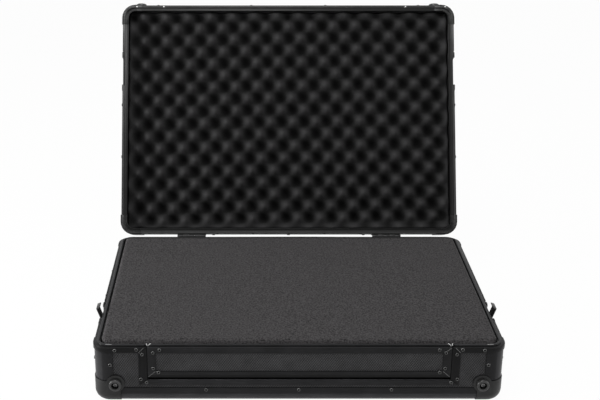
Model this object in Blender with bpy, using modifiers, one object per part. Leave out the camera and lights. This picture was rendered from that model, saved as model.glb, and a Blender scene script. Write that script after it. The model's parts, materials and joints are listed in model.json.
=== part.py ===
# Flight case with a lifting front access panel, a hinged lid and two butterfly latches.
# Lengths are in metres. X runs across the case, Y from front to back and Z up.
# The underside of the bottom board lies at Z = 0 and the lid is shown open.
import math

import bmesh
import bpy
from mathutils import Matrix, Vector

# Whole case
CASE_WIDTH = 0.700
CASE_DEPTH = 0.4843
BASE_HEIGHT = 0.1058
LID_HEIGHT = 0.055
LID_OPEN_ANGLE = math.radians(115.2)
GAP = 0.0003
OVERRUN = 0.002
ARC_STEPS = 6
SMALL_ARC_STEPS = 3
WELD = 0.00001
JOIN_INSET = 0.00005

# Boards and the aluminium profiles that hold their edges
BOARD = 0.009
BOARD_REBATE = 0.0005
SKIN = 0.0012
CORNER_RADIUS = 0.026
EDGE_RADIUS = 0.0175
EDGE_REACH = 0.0287
EDGE_UNDER_REACH = 0.023
EDGE_INNER_REACH = 0.021
POST_REACH = 0.033
POST_INNER_REACH = 0.0290

# Tongue and groove closure
RIM_FLANGE = 0.0095
RIM_INNER_FLANGE = 0.008
TONGUE_INSET = 0.005
TONGUE_WIDTH = 0.005
TONGUE_HEIGHT = 0.003
TONGUE_CHAMFER = 0.0006
GROOVE_CLEARANCE = 0.0005
WEB = 0.0015
CORNER_PIECE_REACH = 0.040
CORNER_PIECE_PROUD = 0.0016
CORNER_PIECE_SET_BACK = 0.0004
CORNER_PIECE_SINK = 0.0006

# Front opening and its panel
OPENING_FROM_SIDE = 0.0915
SILL_HEIGHT = 0.0418
JAMB_FLANGE = 0.014
SILL_FLANGE = 0.0088
PANEL_SIDE_GAP = 0.0008
PANEL_BOTTOM_GAP = 0.0065
PANEL_RAIL_FLANGE = 0.0105
PANEL_STILE_FLANGE = 0.014
MITRE_GAP = 0.0004
SILL_TONGUE_END_GAP = 0.0006

# Corner caps
CAP_WALL = 0.001
BASE_CAP_HEIGHT = 0.042
LID_CAP_DROP = 0.0035
CAP_REACH = 0.045
CAP_UNDER_REACH = 0.022
CAP_LOBE_RADIUS = 0.0160
CAP_LOBE_PROUD = 0.0002
CAP_LOBE_ROUND_SHARE = 0.98
CAP_LOBE_STEPS = 18

# Rubber feet
FOOT_RADIUS = 0.0108
FOOT_ROUND = 0.0021
FOOT_RECESS_RADIUS = 0.0065
FOOT_RECESS_DEPTH = 0.0042
FOOT_LENGTH = 0.0083
FOOT_INSET = 0.0367
BASE_FOOT_HEIGHT = 0.0375
LID_FOOT_DROP = 0.0052
FOOT_STEPS = 16

# Foam
FOAM_SIDE_CLEARANCE = 0.0017
FOAM_FRONT_CLEARANCE = 0.003
FOAM_PROUD = 0.008
EGG_SIDE_CLEARANCE = 0.0048
EGG_BASE_DEPTH = 0.0105
EGG_PITCH_X = 0.0464
EGG_PITCH_Y = 0.048
EGG_PEAK_BELOW_RIM = 0.0125
EGG_SAMPLES_PER_PITCH = 4

# Hinges
HINGE_WIDTH = 0.059
HINGE_PLACE_SHARE = 0.58
HINGE_AXIS_OUT = 0.005
HINGE_KNUCKLE_RADIUS = 0.0035
HINGE_PIN_RADIUS = 0.0014
HINGE_BORE_RADIUS = 0.0018
HINGE_LEAF = 0.0016
HINGE_LEAF_HEIGHT = 0.028
HINGE_LEAF_CORNER = 0.004
HINGE_KNUCKLES = 5
HINGE_NOTCH_CLEARANCE = 0.0005
HINGE_STEPS = 12

# Latch dishes
LATCH_FROM_FRONT = 0.1405
DISH_HALF_WIDTH = 0.042
DISH_HEIGHT = 0.056
DISH_PLATE = 0.002
DISH_CORNER = 0.006
DISH_WALL = 0.001
PAN_HALF_WIDTH = 0.029
PAN_CORNER = 0.004
PAN_BOTTOM = 0.050
PAN_TOP = 0.014
PAN_FLOOR = 0.007
SHELF_FLOOR = 0.0014
KEEPER_CLEARANCE = 0.0006
POCKET_CLEARANCE = 0.0005
POCKET_BORDER = 0.0062
POCKET_CORNER_SHARE = 0.3

# Latch movement, with depths below the face of the boards
HUB_DROP = 0.0335
HUB_RADIUS = 0.0105
HUB_LAYER = 0.0013
CAM_RADIUS = 0.007
CAM_OFFSET = 0.002
CAM_LAYER = 0.0015
WING_LENGTH = 0.0155
WING_HALF_WIDTH = 0.0095
WING_NECK = 0.0032
WING_PLATE = 0.0014
WING_BARREL_RADIUS = 0.0017
WING_BARREL_HALF = 0.0062
WING_AXIS_GAP = 0.00035
WING_HOLE_RADIUS = 0.0038
WING_HOLE_PLACE = 0.0090
WING_STEPS = 12
LUG_THICKNESS = 0.0022
LUG_HALF_WIDTH = 0.0019
PIN_RADIUS = 0.0009
PIN_CLEARANCE = 0.0003
LINK_PLATE = 0.0012
LINK_HALF_WIDTH = 0.015
LINK_SLOT_HALF_WIDTH = 0.0100
LINK_SLOT_CLEARANCE = 0.0009
LINK_END = 0.0040
LINK_EYE_HALF = 0.0019
HOOK_PIN_DROP = 0.0170
HOOK_PIN_DEPTH = 0.0043
HOOK_BARREL_RADIUS = 0.00135
HOOK_BARREL_CLEARANCE = 0.00045
HOOK_PLATE = 0.0016
HOOK_OUT = 0.0040
HOOK_TOP = 0.0125
HOOK_TIP = 0.0046
HOOK_HALF_WIDTH = 0.0112
HOOK_SIDE_GAP = 0.0005
HOOK_LEAN = math.radians(19.0)
PIN_STEPS = 12
HUB_STEPS = 24

# Handle on the back wall
HANDLE_PLATE_HALF_WIDTH = 0.070
HANDLE_PLATE_HALF_HEIGHT = 0.022
HANDLE_PLATE = 0.0020
EAR_PLACE = 0.059
EAR_HALF_THICKNESS = 0.0020
EAR_RADIUS = 0.0065
HANDLE_PIVOT_OUT = 0.0110
BAIL_RADIUS = 0.0028
BAIL_BORE_CLEARANCE = 0.0004
BAIL_HALF_WIDTH = 0.0485
BAIL_PIN_END = 0.0625
BAIL_DROP = 0.033
BAIL_BEND = 0.007
BAIL_BEND_STEPS = 4
GRIP_RADIUS = 0.0075
GRIP_HALF_LENGTH = 0.040
GRIP_CHAMFER = 0.0015

# Sizes worked out from the ones above
PROFILE_DEPTH = 2 * (SKIN + GAP) + BOARD
BOARD_FACE = SKIN + GAP
PARTING = BASE_HEIGHT - BOARD_FACE
HALF_WIDTH = CASE_WIDTH / 2
HALF_DEPTH = CASE_DEPTH / 2
GROOVE_DEPTH = TONGUE_HEIGHT + GROOVE_CLEARANCE
GROOVE_START = TONGUE_INSET - GROOVE_CLEARANCE
GROOVE_END = TONGUE_INSET + TONGUE_WIDTH + GROOVE_CLEARANCE
MALE_BOARD_EDGE = WEB + GAP
FEMALE_BOARD_EDGE = GROOVE_DEPTH + WEB + GAP
EDGE_BLOCK = EDGE_RADIUS - 2 * SKIN
POST_BLOCK = CORNER_RADIUS - SKIN
OPENING_HALF_WIDTH = HALF_WIDTH - OPENING_FROM_SIDE
SILL_DEPTH = PARTING - SILL_HEIGHT
PANEL_DEPTH = SILL_DEPTH - PANEL_BOTTOM_GAP
HINGE_PLACE = HALF_WIDTH * HINGE_PLACE_SHARE
LID_CAP_HEIGHT = LID_HEIGHT - RIM_FLANGE - LID_CAP_DROP
LID_FOOT_HEIGHT = LID_HEIGHT - RIM_FLANGE - CAP_LOBE_RADIUS - LID_FOOT_DROP
KEEPER_HEIGHT = LID_HEIGHT - EDGE_REACH - KEEPER_CLEARANCE
POCKET_START = GROOVE_DEPTH + WEB + DISH_WALL + POCKET_CLEARANCE
POCKET_END = KEEPER_HEIGHT - POCKET_BORDER
POCKET_CORNER = (POCKET_END - POCKET_START) * POCKET_CORNER_SHARE
HANDLE_HEIGHT = (EDGE_REACH + BASE_HEIGHT - RIM_FLANGE) / 2
PANEL_HALF_WIDTH = OPENING_HALF_WIDTH - PANEL_SIDE_GAP
HINGE_AXIS = Vector((0, HALF_DEPTH + HINGE_AXIS_OUT, PARTING))
LATCH_Y = LATCH_FROM_FRONT - HALF_DEPTH
DISH_OPENING = PAN_HALF_WIDTH + DISH_WALL + GAP

case_parts = bpy.data.collections.new("flight_case")
cutters = bpy.data.collections.new("cutters")


def start_scene():
    for ob in list(bpy.data.objects):
        bpy.data.objects.remove(ob)
    bpy.context.scene.collection.children.link(case_parts)
    bpy.context.scene.collection.children.link(cutters)
    cutters.hide_render = True


# Finishes
def finish(name, colour, roughness, metallic):
    mat = bpy.data.materials.new(name)
    mat.use_nodes = True
    shader = mat.node_tree.nodes["Principled BSDF"]
    shader.inputs["Base Color"].default_value = (*colour, 1)
    shader.inputs["Roughness"].default_value = roughness
    shader.inputs["Metallic"].default_value = metallic
    mat.diffuse_color = (*colour, 1)
    return mat


def laminate():
    return finish("black_laminate", (0.030, 0.029, 0.030), 0.55, 0.0)


def black_anodised():
    return finish("black_anodised_aluminium", (0.022, 0.022, 0.024), 0.38, 0.6)


def black_plated():
    return finish("black_plated_steel", (0.020, 0.020, 0.021), 0.42, 0.65)


def black_rubber():
    return finish("black_rubber", (0.018, 0.018, 0.018), 0.75, 0.0)


def grey_foam():
    return finish("dark_grey_foam", (0.052, 0.051, 0.051), 0.98, 0.0)


# Outlines, all as lists of 2D points
def arc(centre, radius, start, end, steps=ARC_STEPS):
    points = []
    for i in range(steps + 1):
        angle = start + (end - start) * i / steps
        points.append((centre[0] + radius * math.cos(angle), centre[1] + radius * math.sin(angle)))
    return points


def rounded_rectangle(low, high, radius, steps=ARC_STEPS):
    quarter = math.pi / 2
    centres = (
        (high[0] - radius, high[1] - radius),
        (low[0] + radius, high[1] - radius),
        (low[0] + radius, low[1] + radius),
        (high[0] - radius, low[1] + radius),
    )
    points = []
    for i, centre in enumerate(centres):
        points += arc(centre, radius, i * quarter, (i + 1) * quarter, steps)
    return points


def case_outline():
    return rounded_rectangle((-HALF_WIDTH, -HALF_DEPTH), (HALF_WIDTH, HALF_DEPTH), CORNER_RADIUS)


def male_section(flange, inner_flange):
    # (distance in from the outer face, distance from the closing plane into the board)
    tongue_end = TONGUE_INSET + TONGUE_WIDTH
    return [
        (0, flange),
        (0, 0),
        (TONGUE_INSET, 0),
        (TONGUE_INSET, TONGUE_CHAMFER - TONGUE_HEIGHT),
        (TONGUE_INSET + TONGUE_CHAMFER, -TONGUE_HEIGHT),
        (tongue_end - TONGUE_CHAMFER, -TONGUE_HEIGHT),
        (tongue_end, TONGUE_CHAMFER - TONGUE_HEIGHT),
        (tongue_end, 0),
        (PROFILE_DEPTH, 0),
        (PROFILE_DEPTH, inner_flange),
        (PROFILE_DEPTH - SKIN, inner_flange),
        (PROFILE_DEPTH - SKIN, WEB),
        (SKIN, WEB),
        (SKIN, flange),
    ]


def female_section(flange, inner_flange):
    web = GROOVE_DEPTH + WEB
    return [
        (0, flange),
        (0, 0),
        (GROOVE_START, 0),
        (GROOVE_START, GROOVE_DEPTH),
        (GROOVE_END, GROOVE_DEPTH),
        (GROOVE_END, 0),
        (PROFILE_DEPTH, 0),
        (PROFILE_DEPTH, inner_flange),
        (PROFILE_DEPTH - SKIN, inner_flange),
        (PROFILE_DEPTH - SKIN, web),
        (SKIN, web),
        (SKIN, flange),
    ]


def angle_section(radius, block, reach, side_reach, inner_reach):
    # Rounded outer angle, solid corner and inner angle that hold two boards at right angles
    inner = PROFILE_DEPTH - SKIN
    points = [(0, reach)]
    points += arc((radius, radius), radius, math.pi, 1.5 * math.pi)
    points += [
        (side_reach, 0),
        (side_reach, SKIN),
        (block, SKIN),
        (block, inner),
        (inner_reach, inner),
        (inner_reach, PROFILE_DEPTH),
        (PROFILE_DEPTH, PROFILE_DEPTH),
        (PROFILE_DEPTH, inner_reach),
        (inner, inner_reach),
        (inner, block),
        (SKIN, block),
        (SKIN, reach),
    ]
    return points


def cap_section(height):
    inner = -GAP
    outer = -GAP - CAP_WALL
    centre = (EDGE_RADIUS, EDGE_RADIUS)
    points = [(outer, height)]
    points += arc(centre, EDGE_RADIUS - outer, math.pi, 1.5 * math.pi)
    points += [(CAP_UNDER_REACH, outer), (CAP_UNDER_REACH, inner)]
    points += arc(centre, EDGE_RADIUS - inner, 1.5 * math.pi, math.pi)
    points += [(inner, height)]
    return points


# Making and changing meshes
def curve_object(points, closed):
    data = bpy.data.curves.new("outline", "CURVE")
    data.dimensions = "2D"
    data.fill_mode = "NONE"
    spline = data.splines.new("POLY")
    spline.points.add(len(points) - 1)
    for point, place in zip(spline.points, points):
        point.co = (place[0], place[1], 0, 1)
    spline.use_cyclic_u = closed
    ob = bpy.data.objects.new("outline", data)
    bpy.context.scene.collection.objects.link(ob)
    return ob


def mesh_from_curve(ob, name, welded):
    bpy.context.view_layer.update()
    graph = bpy.context.evaluated_depsgraph_get()
    mesh = bpy.data.meshes.new_from_object(ob.evaluated_get(graph))
    bpy.data.objects.remove(ob)
    bm = bmesh.new()
    bm.from_mesh(mesh)
    bmesh.ops.remove_doubles(bm, verts=bm.verts, dist=welded)
    bmesh.ops.recalc_face_normals(bm, faces=bm.faces)
    bm.to_mesh(mesh)
    bm.free()
    mesh.materials.clear()
    return mesh_object(name, mesh)


def mesh_object(name, mesh):
    mesh.name = name
    ob = bpy.data.objects.new(name, mesh)
    case_parts.objects.link(ob)
    return ob


def extruded(name, points, thickness):
    # A flat outline in local X and Y, centred on its thickness in local Z
    ob = curve_object(points, True)
    ob.data.fill_mode = "BOTH"
    ob.data.extrude = thickness / 2
    return mesh_from_curve(ob, name, WELD)


def swept(name, section, path, closed):
    # Local X of the section points to the right of an open path and into a closed one
    profile = curve_object(section, True)
    ob = curve_object(path, closed)
    ob.data.bevel_mode = "OBJECT"
    ob.data.bevel_object = profile
    ob.data.use_fill_caps = not closed
    made = mesh_from_curve(ob, name, WELD)
    bpy.data.objects.remove(profile)
    return made


def block(name, low, high):
    bm = bmesh.new()
    bmesh.ops.create_cube(bm, size=1)
    size = Vector(high) - Vector(low)
    bmesh.ops.scale(bm, vec=size, verts=bm.verts)
    bmesh.ops.translate(bm, vec=Vector(low) + size / 2, verts=bm.verts)
    mesh = bpy.data.meshes.new(name)
    bm.to_mesh(mesh)
    bm.free()
    return mesh_object(name, mesh)


def cylinder(name, radius, length, steps, axis="Z"):
    bm = bmesh.new()
    bmesh.ops.create_cone(
        bm, cap_ends=True, segments=steps, radius1=radius, radius2=radius, depth=length
    )
    turns = {"X": Matrix.Rotation(math.pi / 2, 4, "Y"), "Y": Matrix.Rotation(math.pi / 2, 4, "X")}
    if axis in turns:
        bm.transform(turns[axis])
    mesh = bpy.data.meshes.new(name)
    bm.to_mesh(mesh)
    bm.free()
    return mesh_object(name, mesh)


def turned(name, profile, steps, ring=False):
    # A profile of (radius, height) turned about local Z; a ring's profile is a closed loop
    mesh = bpy.data.meshes.new(name)
    bm = bmesh.new()
    verts = [bm.verts.new((radius, 0, height)) for radius, height in profile]
    ends = verts[1:] + verts[:1] if ring else verts[1:]
    for start, end in zip(verts, ends):
        bm.edges.new((start, end))
    bm.to_mesh(mesh)
    bm.free()
    ob = mesh_object(name, mesh)
    screw = ob.modifiers.new("turn", "SCREW")
    screw.steps = steps
    screw.render_steps = steps
    screw.use_merge_vertices = True
    screw.merge_threshold = WELD
    screw.use_normal_calculate = True
    return ob


def reshaped(ob, matrix):
    # Turns or mirrors the mesh itself and keeps its faces pointing outwards
    ob.data.transform(matrix)
    if matrix.determinant() < 0:
        ob.data.flip_normals()
    ob.data.update()
    return ob


def axes_matrix(x_axis, y_axis, z_axis):
    return Matrix((x_axis, y_axis, z_axis)).transposed().to_4x4()


def moved(ob, place):
    ob.location = Vector(ob.location) + Vector(place)
    return ob


def set_tool(ob, tool, operation):
    case_parts.objects.unlink(tool)
    cutters.objects.link(tool)
    tool.display_type = "WIRE"
    tool.hide_render = True
    tool.parent = ob.parent
    change = ob.modifiers.new(operation.lower(), "BOOLEAN")
    change.operation = operation
    change.solver = "EXACT"
    change.object = tool


def cut(ob, *tools):
    for tool in tools:
        set_tool(ob, tool, "DIFFERENCE")
    return ob


def fuse(ob, *tools):
    for tool in tools:
        set_tool(ob, tool, "UNION")
    return ob


def dressed(ob, material):
    ob.data.materials.clear()
    ob.data.materials.append(material)
    return ob


def empty(name, place, parent=None):
    ob = bpy.data.objects.new(name, None)
    case_parts.objects.link(ob)
    ob.location = place
    ob.parent = parent
    return ob


def corners():
    # Name and the signs of X and Y of each corner
    return (
        ("front_left", -1, -1),
        ("front_right", 1, -1),
        ("back_right", 1, 1),
        ("back_left", -1, 1),
    )


def into_corner(ob, sign_x, sign_y, sign_z=1):
    return reshaped(ob, Matrix.Diagonal((-sign_x, -sign_y, sign_z, 1)))


# Shell pieces that the base and the lid share.
# A shell has its closing plane at z and its closed side at distance height from it;
# away is -1 for the base, which lies below its closing plane, and 1 for the lid.
def edge_ring(name, z, height, away, material):
    section = angle_section(
        EDGE_RADIUS, EDGE_BLOCK, EDGE_REACH, EDGE_UNDER_REACH, EDGE_INNER_REACH
    )
    ring = swept(name, section, case_outline(), True)
    if away > 0:
        reshaped(ring, Matrix.Diagonal((1, 1, -1, 1)))
    moved(ring, (0, 0, z + away * height))
    return dressed(ring, material)


def corner_post(name, signs, z, height, away):
    # Runs from the rim into the edge profile
    section = angle_section(
        CORNER_RADIUS, POST_BLOCK, POST_REACH, POST_REACH, POST_INNER_REACH
    )
    start = RIM_FLANGE + GAP
    end = height - EDGE_REACH + OVERRUN
    post = extruded(name, section, end - start)
    into_corner(post, *signs)
    x = signs[0] * (HALF_WIDTH - JOIN_INSET)
    y = signs[1] * (HALF_DEPTH - JOIN_INSET)
    return moved(post, (x, y, z + away * (start + end) / 2))


def edge_frame(name, z, height, away, material):
    # The edge profile with the four corner posts that stand on it
    ring = edge_ring(name, z, height, away, material)
    for corner, sign_x, sign_y in corners():
        fuse(ring, corner_post(name + "_post_" + corner, (sign_x, sign_y), z, height, away))
    return ring


def corner_cap(name, signs, z, height, away, cap_height, foot_height, material):
    centre = (CORNER_RADIUS, CORNER_RADIUS)
    path = [(CAP_REACH, 0)]
    path += arc(centre, CORNER_RADIUS, 1.5 * math.pi, math.pi)
    path += [(0, CAP_REACH)]
    cap = swept(name, cap_section(cap_height), path, False)
    tools = []
    if foot_height:
        drop = min(foot_height - EDGE_RADIUS - GAP, CAP_LOBE_RADIUS * CAP_LOBE_ROUND_SHARE)
        start = -math.asin(drop / CAP_LOBE_RADIUS)
        place = (FOOT_INSET, foot_height)
        lobe = arc(place, CAP_LOBE_RADIUS, start, math.pi - start, CAP_LOBE_STEPS)
        tool = extruded(name + "_lobe", lobe, CAP_WALL)
        reshaped(tool, axes_matrix((1, 0, 0), (0, 0, 1), (0, -1, 0)))
        tool.data.transform(Matrix.Translation((0, -GAP - CAP_WALL / 2 - CAP_LOBE_PROUD, 0)))
        tools.append(tool)
    for ob in [cap] + tools:
        into_corner(ob, *signs, -away)
        moved(ob, (signs[0] * HALF_WIDTH, signs[1] * HALF_DEPTH, z + away * height))
    fuse(cap, *tools)
    return dressed(cap, material)


def rubber_foot(name, material):
    # Its seat lies at local Z = 0 and its recessed face looks along local +Z
    round_centre = (FOOT_RADIUS - FOOT_ROUND, FOOT_LENGTH - FOOT_ROUND)
    profile = [(0, 0), (FOOT_RADIUS, 0)]
    profile += arc(round_centre, FOOT_ROUND, 0, math.pi / 2, SMALL_ARC_STEPS)
    profile += [
        (FOOT_RECESS_RADIUS, FOOT_LENGTH),
        (FOOT_RECESS_RADIUS, FOOT_LENGTH - FOOT_RECESS_DEPTH),
        (0, FOOT_LENGTH - FOOT_RECESS_DEPTH),
    ]
    return dressed(turned(name, profile, FOOT_STEPS), material)


def front_foot(name, sign_x, z, height, away, foot_height, material):
    foot = rubber_foot(name, material)
    foot.rotation_euler = (math.pi / 2, 0, 0)
    seat = HALF_DEPTH + 2 * GAP + CAP_WALL
    foot.location = (sign_x * (HALF_WIDTH - FOOT_INSET), -seat, z + away * (height - foot_height))
    return foot


def round_corner(name, section, reach, signs, z):
    # A section swept round one corner of the rim and a little way along both sides
    path = [(reach, 0)]
    path += arc((CORNER_RADIUS, CORNER_RADIUS), CORNER_RADIUS, 1.5 * math.pi, math.pi)
    path += [(0, reach)]
    length = into_corner(swept(name, section, path, False), *signs)
    return moved(length, (signs[0] * HALF_WIDTH, signs[1] * HALF_DEPTH, z))


def corner_sleeve(name, signs, z, away):
    # The proud part of a cast corner piece
    section = []
    for inward, depth in (
        (-CORNER_PIECE_PROUD, CORNER_PIECE_SET_BACK),
        (CORNER_PIECE_SINK, CORNER_PIECE_SET_BACK),
        (CORNER_PIECE_SINK, RIM_FLANGE - CORNER_PIECE_SET_BACK),
        (-CORNER_PIECE_PROUD, RIM_FLANGE - CORNER_PIECE_SET_BACK),
    ):
        section.append((inward, away * depth))
    return round_corner(name, section, CORNER_PIECE_REACH - JOIN_INSET, signs, z)


def side_board(name, sign_x, bottom, top, material):
    outer = HALF_WIDTH - BOARD_FACE
    half_length = HALF_DEPTH - POST_BLOCK - GAP
    low_x, high_x = sorted((sign_x * outer, sign_x * (outer - BOARD)))
    board = block(name, (low_x, -half_length, bottom), (high_x, half_length, top))
    return dressed(board, material)


def cross_board(name, sign_y, bottom, top, material):
    outer = HALF_DEPTH - BOARD_FACE
    half_length = HALF_WIDTH - POST_BLOCK - GAP
    low_y, high_y = sorted((sign_y * outer, sign_y * (outer - BOARD)))
    board = block(name, (-half_length, low_y, bottom), (half_length, high_y, top))
    return dressed(board, material)


def flat_outline(inset):
    return rounded_rectangle(
        (inset - HALF_WIDTH, inset - HALF_DEPTH),
        (HALF_WIDTH - inset, HALF_DEPTH - inset),
        CORNER_RADIUS - inset,
    )


def flat_board(name, z, away, material):
    # z is the outer face of the edge profile on the closed side of a shell.
    # The board's border is rebated where the profile laps over it.
    face = z - away * BOARD_FACE
    board = extruded(name, flat_outline(EDGE_BLOCK + GAP), BOARD - BOARD_REBATE)
    moved(board, (0, 0, face - away * (BOARD + BOARD_REBATE) / 2))
    field_depth = BOARD / 2
    field = extruded(name + "_field", flat_outline(EDGE_UNDER_REACH + GAP), field_depth)
    fuse(board, moved(field, (0, 0, face - away * field_depth / 2)))
    return dressed(board, material)


# Tools that make room for the latch dishes, in the frame of one side:
# local X points out of the case from the face of the boards, local Z up.
def side_frame(sign_x):
    turn = 0 if sign_x > 0 else math.pi
    place = Matrix.Translation((sign_x * (HALF_WIDTH - BOARD_FACE), LATCH_Y, PARTING))
    return place @ Matrix.Rotation(turn, 4, "Z")


def at_side(ob, sign_x):
    return reshaped(ob, side_frame(sign_x))


def rim_cutters(name, sign_x, away):
    shelf_back = GROOVE_START - BOARD_FACE - GAP
    reach = RIM_FLANGE + OVERRUN
    half = DISH_HALF_WIDTH + GAP
    low, high = sorted((-away * OVERRUN, away * reach))
    flange = block(name + "_flange", (0, -half, low), (2 * OVERRUN, half, high))
    shelf_half = DISH_OPENING
    shelf = block(name + "_shelf", (-shelf_back, -shelf_half, low), (2 * OVERRUN, shelf_half, high))
    return [at_side(flange, sign_x), at_side(shelf, sign_x)]


def board_cutters(name, sign_x, away, near, far):
    # near and far are the ends of the deep pan, measured from the closing plane
    half = DISH_OPENING
    room = DISH_WALL + GAP
    low, high = sorted((away * (near - room), away * (far + room)))
    through = block(name + "_pan", (-2 * BOARD, -half, low), (OVERRUN, half, high))
    low, high = sorted((0, away * near))
    shelf_back = SHELF_FLOOR + DISH_WALL + GAP
    shelf = block(name + "_step", (-shelf_back, -half, low), (OVERRUN, half, high))
    return [at_side(through, sign_x), at_side(shelf, sign_x)]


# Base
def base_rim(material):
    z = PARTING
    half = OPENING_HALF_WIDTH
    path = front_open_path(half)
    section = [(inward, -depth) for inward, depth in male_section(RIM_FLANGE, RIM_INNER_FLANGE)]
    rim = swept("base_rim", section, path, False)
    for vert in rim.data.vertices:
        if abs(vert.co.x) < half + WELD and vert.co.y < 0:
            lean = mitre_lean(max(0, -vert.co.z), JAMB_FLANGE)
            vert.co.x = math.copysign(half + lean + MITRE_GAP, vert.co.x)
    moved(rim, (0, 0, z))
    for corner, sign_x, sign_y in corners():
        fuse(rim, corner_sleeve("base_corner_" + corner, (sign_x, sign_y), z, -1))
    for sign_x in (-1, 1):
        cut(rim, *rim_cutters("base_rim_latch", sign_x, -1))
        low_x, high_x = sorted((sign_x * (half - OVERRUN), sign_x * (half + GROOVE_DEPTH)))
        slot = block(
            "panel_slot",
            (low_x, GROOVE_START - HALF_DEPTH, z - RIM_FLANGE - OVERRUN),
            (high_x, GROOVE_END - HALF_DEPTH, z + TONGUE_HEIGHT + OVERRUN),
        )
        cut(rim, slot)
    return dressed(rim, material)


def front_open_path(half):
    # Clockwise from the left of the front opening to its right
    path = [(-half, -HALF_DEPTH)]
    quarter = math.pi / 2
    x = HALF_WIDTH - CORNER_RADIUS
    y = HALF_DEPTH - CORNER_RADIUS
    path += arc((-x, -y), CORNER_RADIUS, 3 * quarter, 2 * quarter)
    path += arc((-x, y), CORNER_RADIUS, 2 * quarter, quarter)
    path += arc((x, y), CORNER_RADIUS, quarter, 0)
    path += arc((x, -y), CORNER_RADIUS, 0, -quarter)
    path += [(half, -HALF_DEPTH)]
    return path


def front_board(material):
    board_edge = OPENING_HALF_WIDTH + FEMALE_BOARD_EDGE
    half_length = HALF_WIDTH - POST_BLOCK - GAP
    bottom = EDGE_BLOCK + GAP - BOARD_FACE
    top = PARTING - MALE_BOARD_EDGE
    notch = PARTING - SILL_DEPTH - FEMALE_BOARD_EDGE
    outline = [
        (-half_length, bottom),
        (half_length, bottom),
        (half_length, top),
        (board_edge, top),
        (board_edge, notch),
        (-board_edge, notch),
        (-board_edge, top),
        (-half_length, top),
    ]
    board = extruded("base_front_board", outline, BOARD)
    reshaped(board, axes_matrix((1, 0, 0), (0, 0, 1), (0, -1, 0)))
    moved(board, (0, BOARD_FACE + BOARD / 2 - HALF_DEPTH, 0))
    return dressed(board, material)


def mitre_lean(depth, other_flange):
    # How far a mitred end leans at this depth so that it meets a flange of another reach
    return other_flange if depth > RIM_INNER_FLANGE + WELD else depth


def frame_bar(name, section, length, start_flange, end_flange, end_sign=1):
    # A profile along local Z; its ends meet flanges of the reaches given
    bar = extruded(name, section, length)
    for vert in bar.data.vertices:
        if vert.co.z < 0:
            vert.co.z -= mitre_lean(vert.co.y, start_flange)
        else:
            vert.co.z += mitre_lean(vert.co.y, end_flange) * end_sign
    return bar


def opening_frame(material):
    section = female_section(JAMB_FLANGE, RIM_INNER_FLANGE)
    length = SILL_DEPTH - 2 * MITRE_GAP
    for side, sign_x in (("left", -1), ("right", 1)):
        jamb = frame_bar(side + "_jamb", section, length, SILL_FLANGE, RIM_FLANGE, -1)
        reshaped(jamb, axes_matrix((0, 1, 0), (sign_x, 0, 0), (0, 0, 1)))
        moved(jamb, (sign_x * OPENING_HALF_WIDTH, -HALF_DEPTH, PARTING - SILL_DEPTH / 2))
        dressed(jamb, material)
    section = female_section(SILL_FLANGE, RIM_INNER_FLANGE)
    length = 2 * (OPENING_HALF_WIDTH - MITRE_GAP)
    sill = frame_bar("sill", section, length, JAMB_FLANGE, JAMB_FLANGE)
    reshaped(sill, axes_matrix((0, 1, 0), (0, 0, -1), (-1, 0, 0)))
    moved(sill, (0, -HALF_DEPTH, PARTING - SILL_DEPTH))
    dressed(sill, material)


def base_shell():
    board_bottom = EDGE_BLOCK + GAP - BOARD_FACE
    board_top = PARTING - MALE_BOARD_EDGE
    board = laminate()
    metal = black_anodised()
    flat_board("bottom_board", -BOARD_FACE, -1, board)
    front_board(board)
    cross_board("base_back_board", 1, board_bottom, board_top, board)
    for side, sign_x in (("left", -1), ("right", 1)):
        wall = side_board("base_" + side + "_board", sign_x, board_bottom, board_top, board)
        cut(wall, *board_cutters("base_" + side, sign_x, -1, PAN_TOP, PAN_BOTTOM))
    base_rim(metal)
    opening_frame(metal)
    edge_frame("bottom_edge_profile", PARTING, BASE_HEIGHT, -1, metal)
    caps = black_plated()
    rubber = black_rubber()
    for corner, sign_x, sign_y in corners():
        signs = (sign_x, sign_y)
        foot_height = BASE_FOOT_HEIGHT if sign_y < 0 else 0
        corner_cap(
            "base_cap_" + corner, signs, PARTING, BASE_HEIGHT, -1, BASE_CAP_HEIGHT, foot_height, caps
        )
        if foot_height:
            front_foot("base_foot_" + corner, sign_x, PARTING, BASE_HEIGHT, -1, foot_height, rubber)


def foam_block():
    side = HALF_WIDTH - PROFILE_DEPTH - FOAM_SIDE_CLEARANCE
    front = PROFILE_DEPTH + FOAM_FRONT_CLEARANCE - HALF_DEPTH
    back = HALF_DEPTH - PROFILE_DEPTH - GAP
    bottom = PROFILE_DEPTH + GAP - BOARD_FACE
    foam = block("foam_block", (-side, front, bottom), (side, back, PARTING + FOAM_PROUD))
    room_top = BASE_HEIGHT + FOAM_PROUD + OVERRUN
    room = [
        (-OVERRUN, 0),
        (PROFILE_DEPTH + GAP, 0),
        (PROFILE_DEPTH + GAP, room_top),
        (-OVERRUN, room_top),
    ]
    envelope = swept("foam_room", room, case_outline(), True)
    moved(envelope, (0, 0, -BOARD_FACE))
    cut(foam, envelope)
    return dressed(foam, grey_foam())


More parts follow.
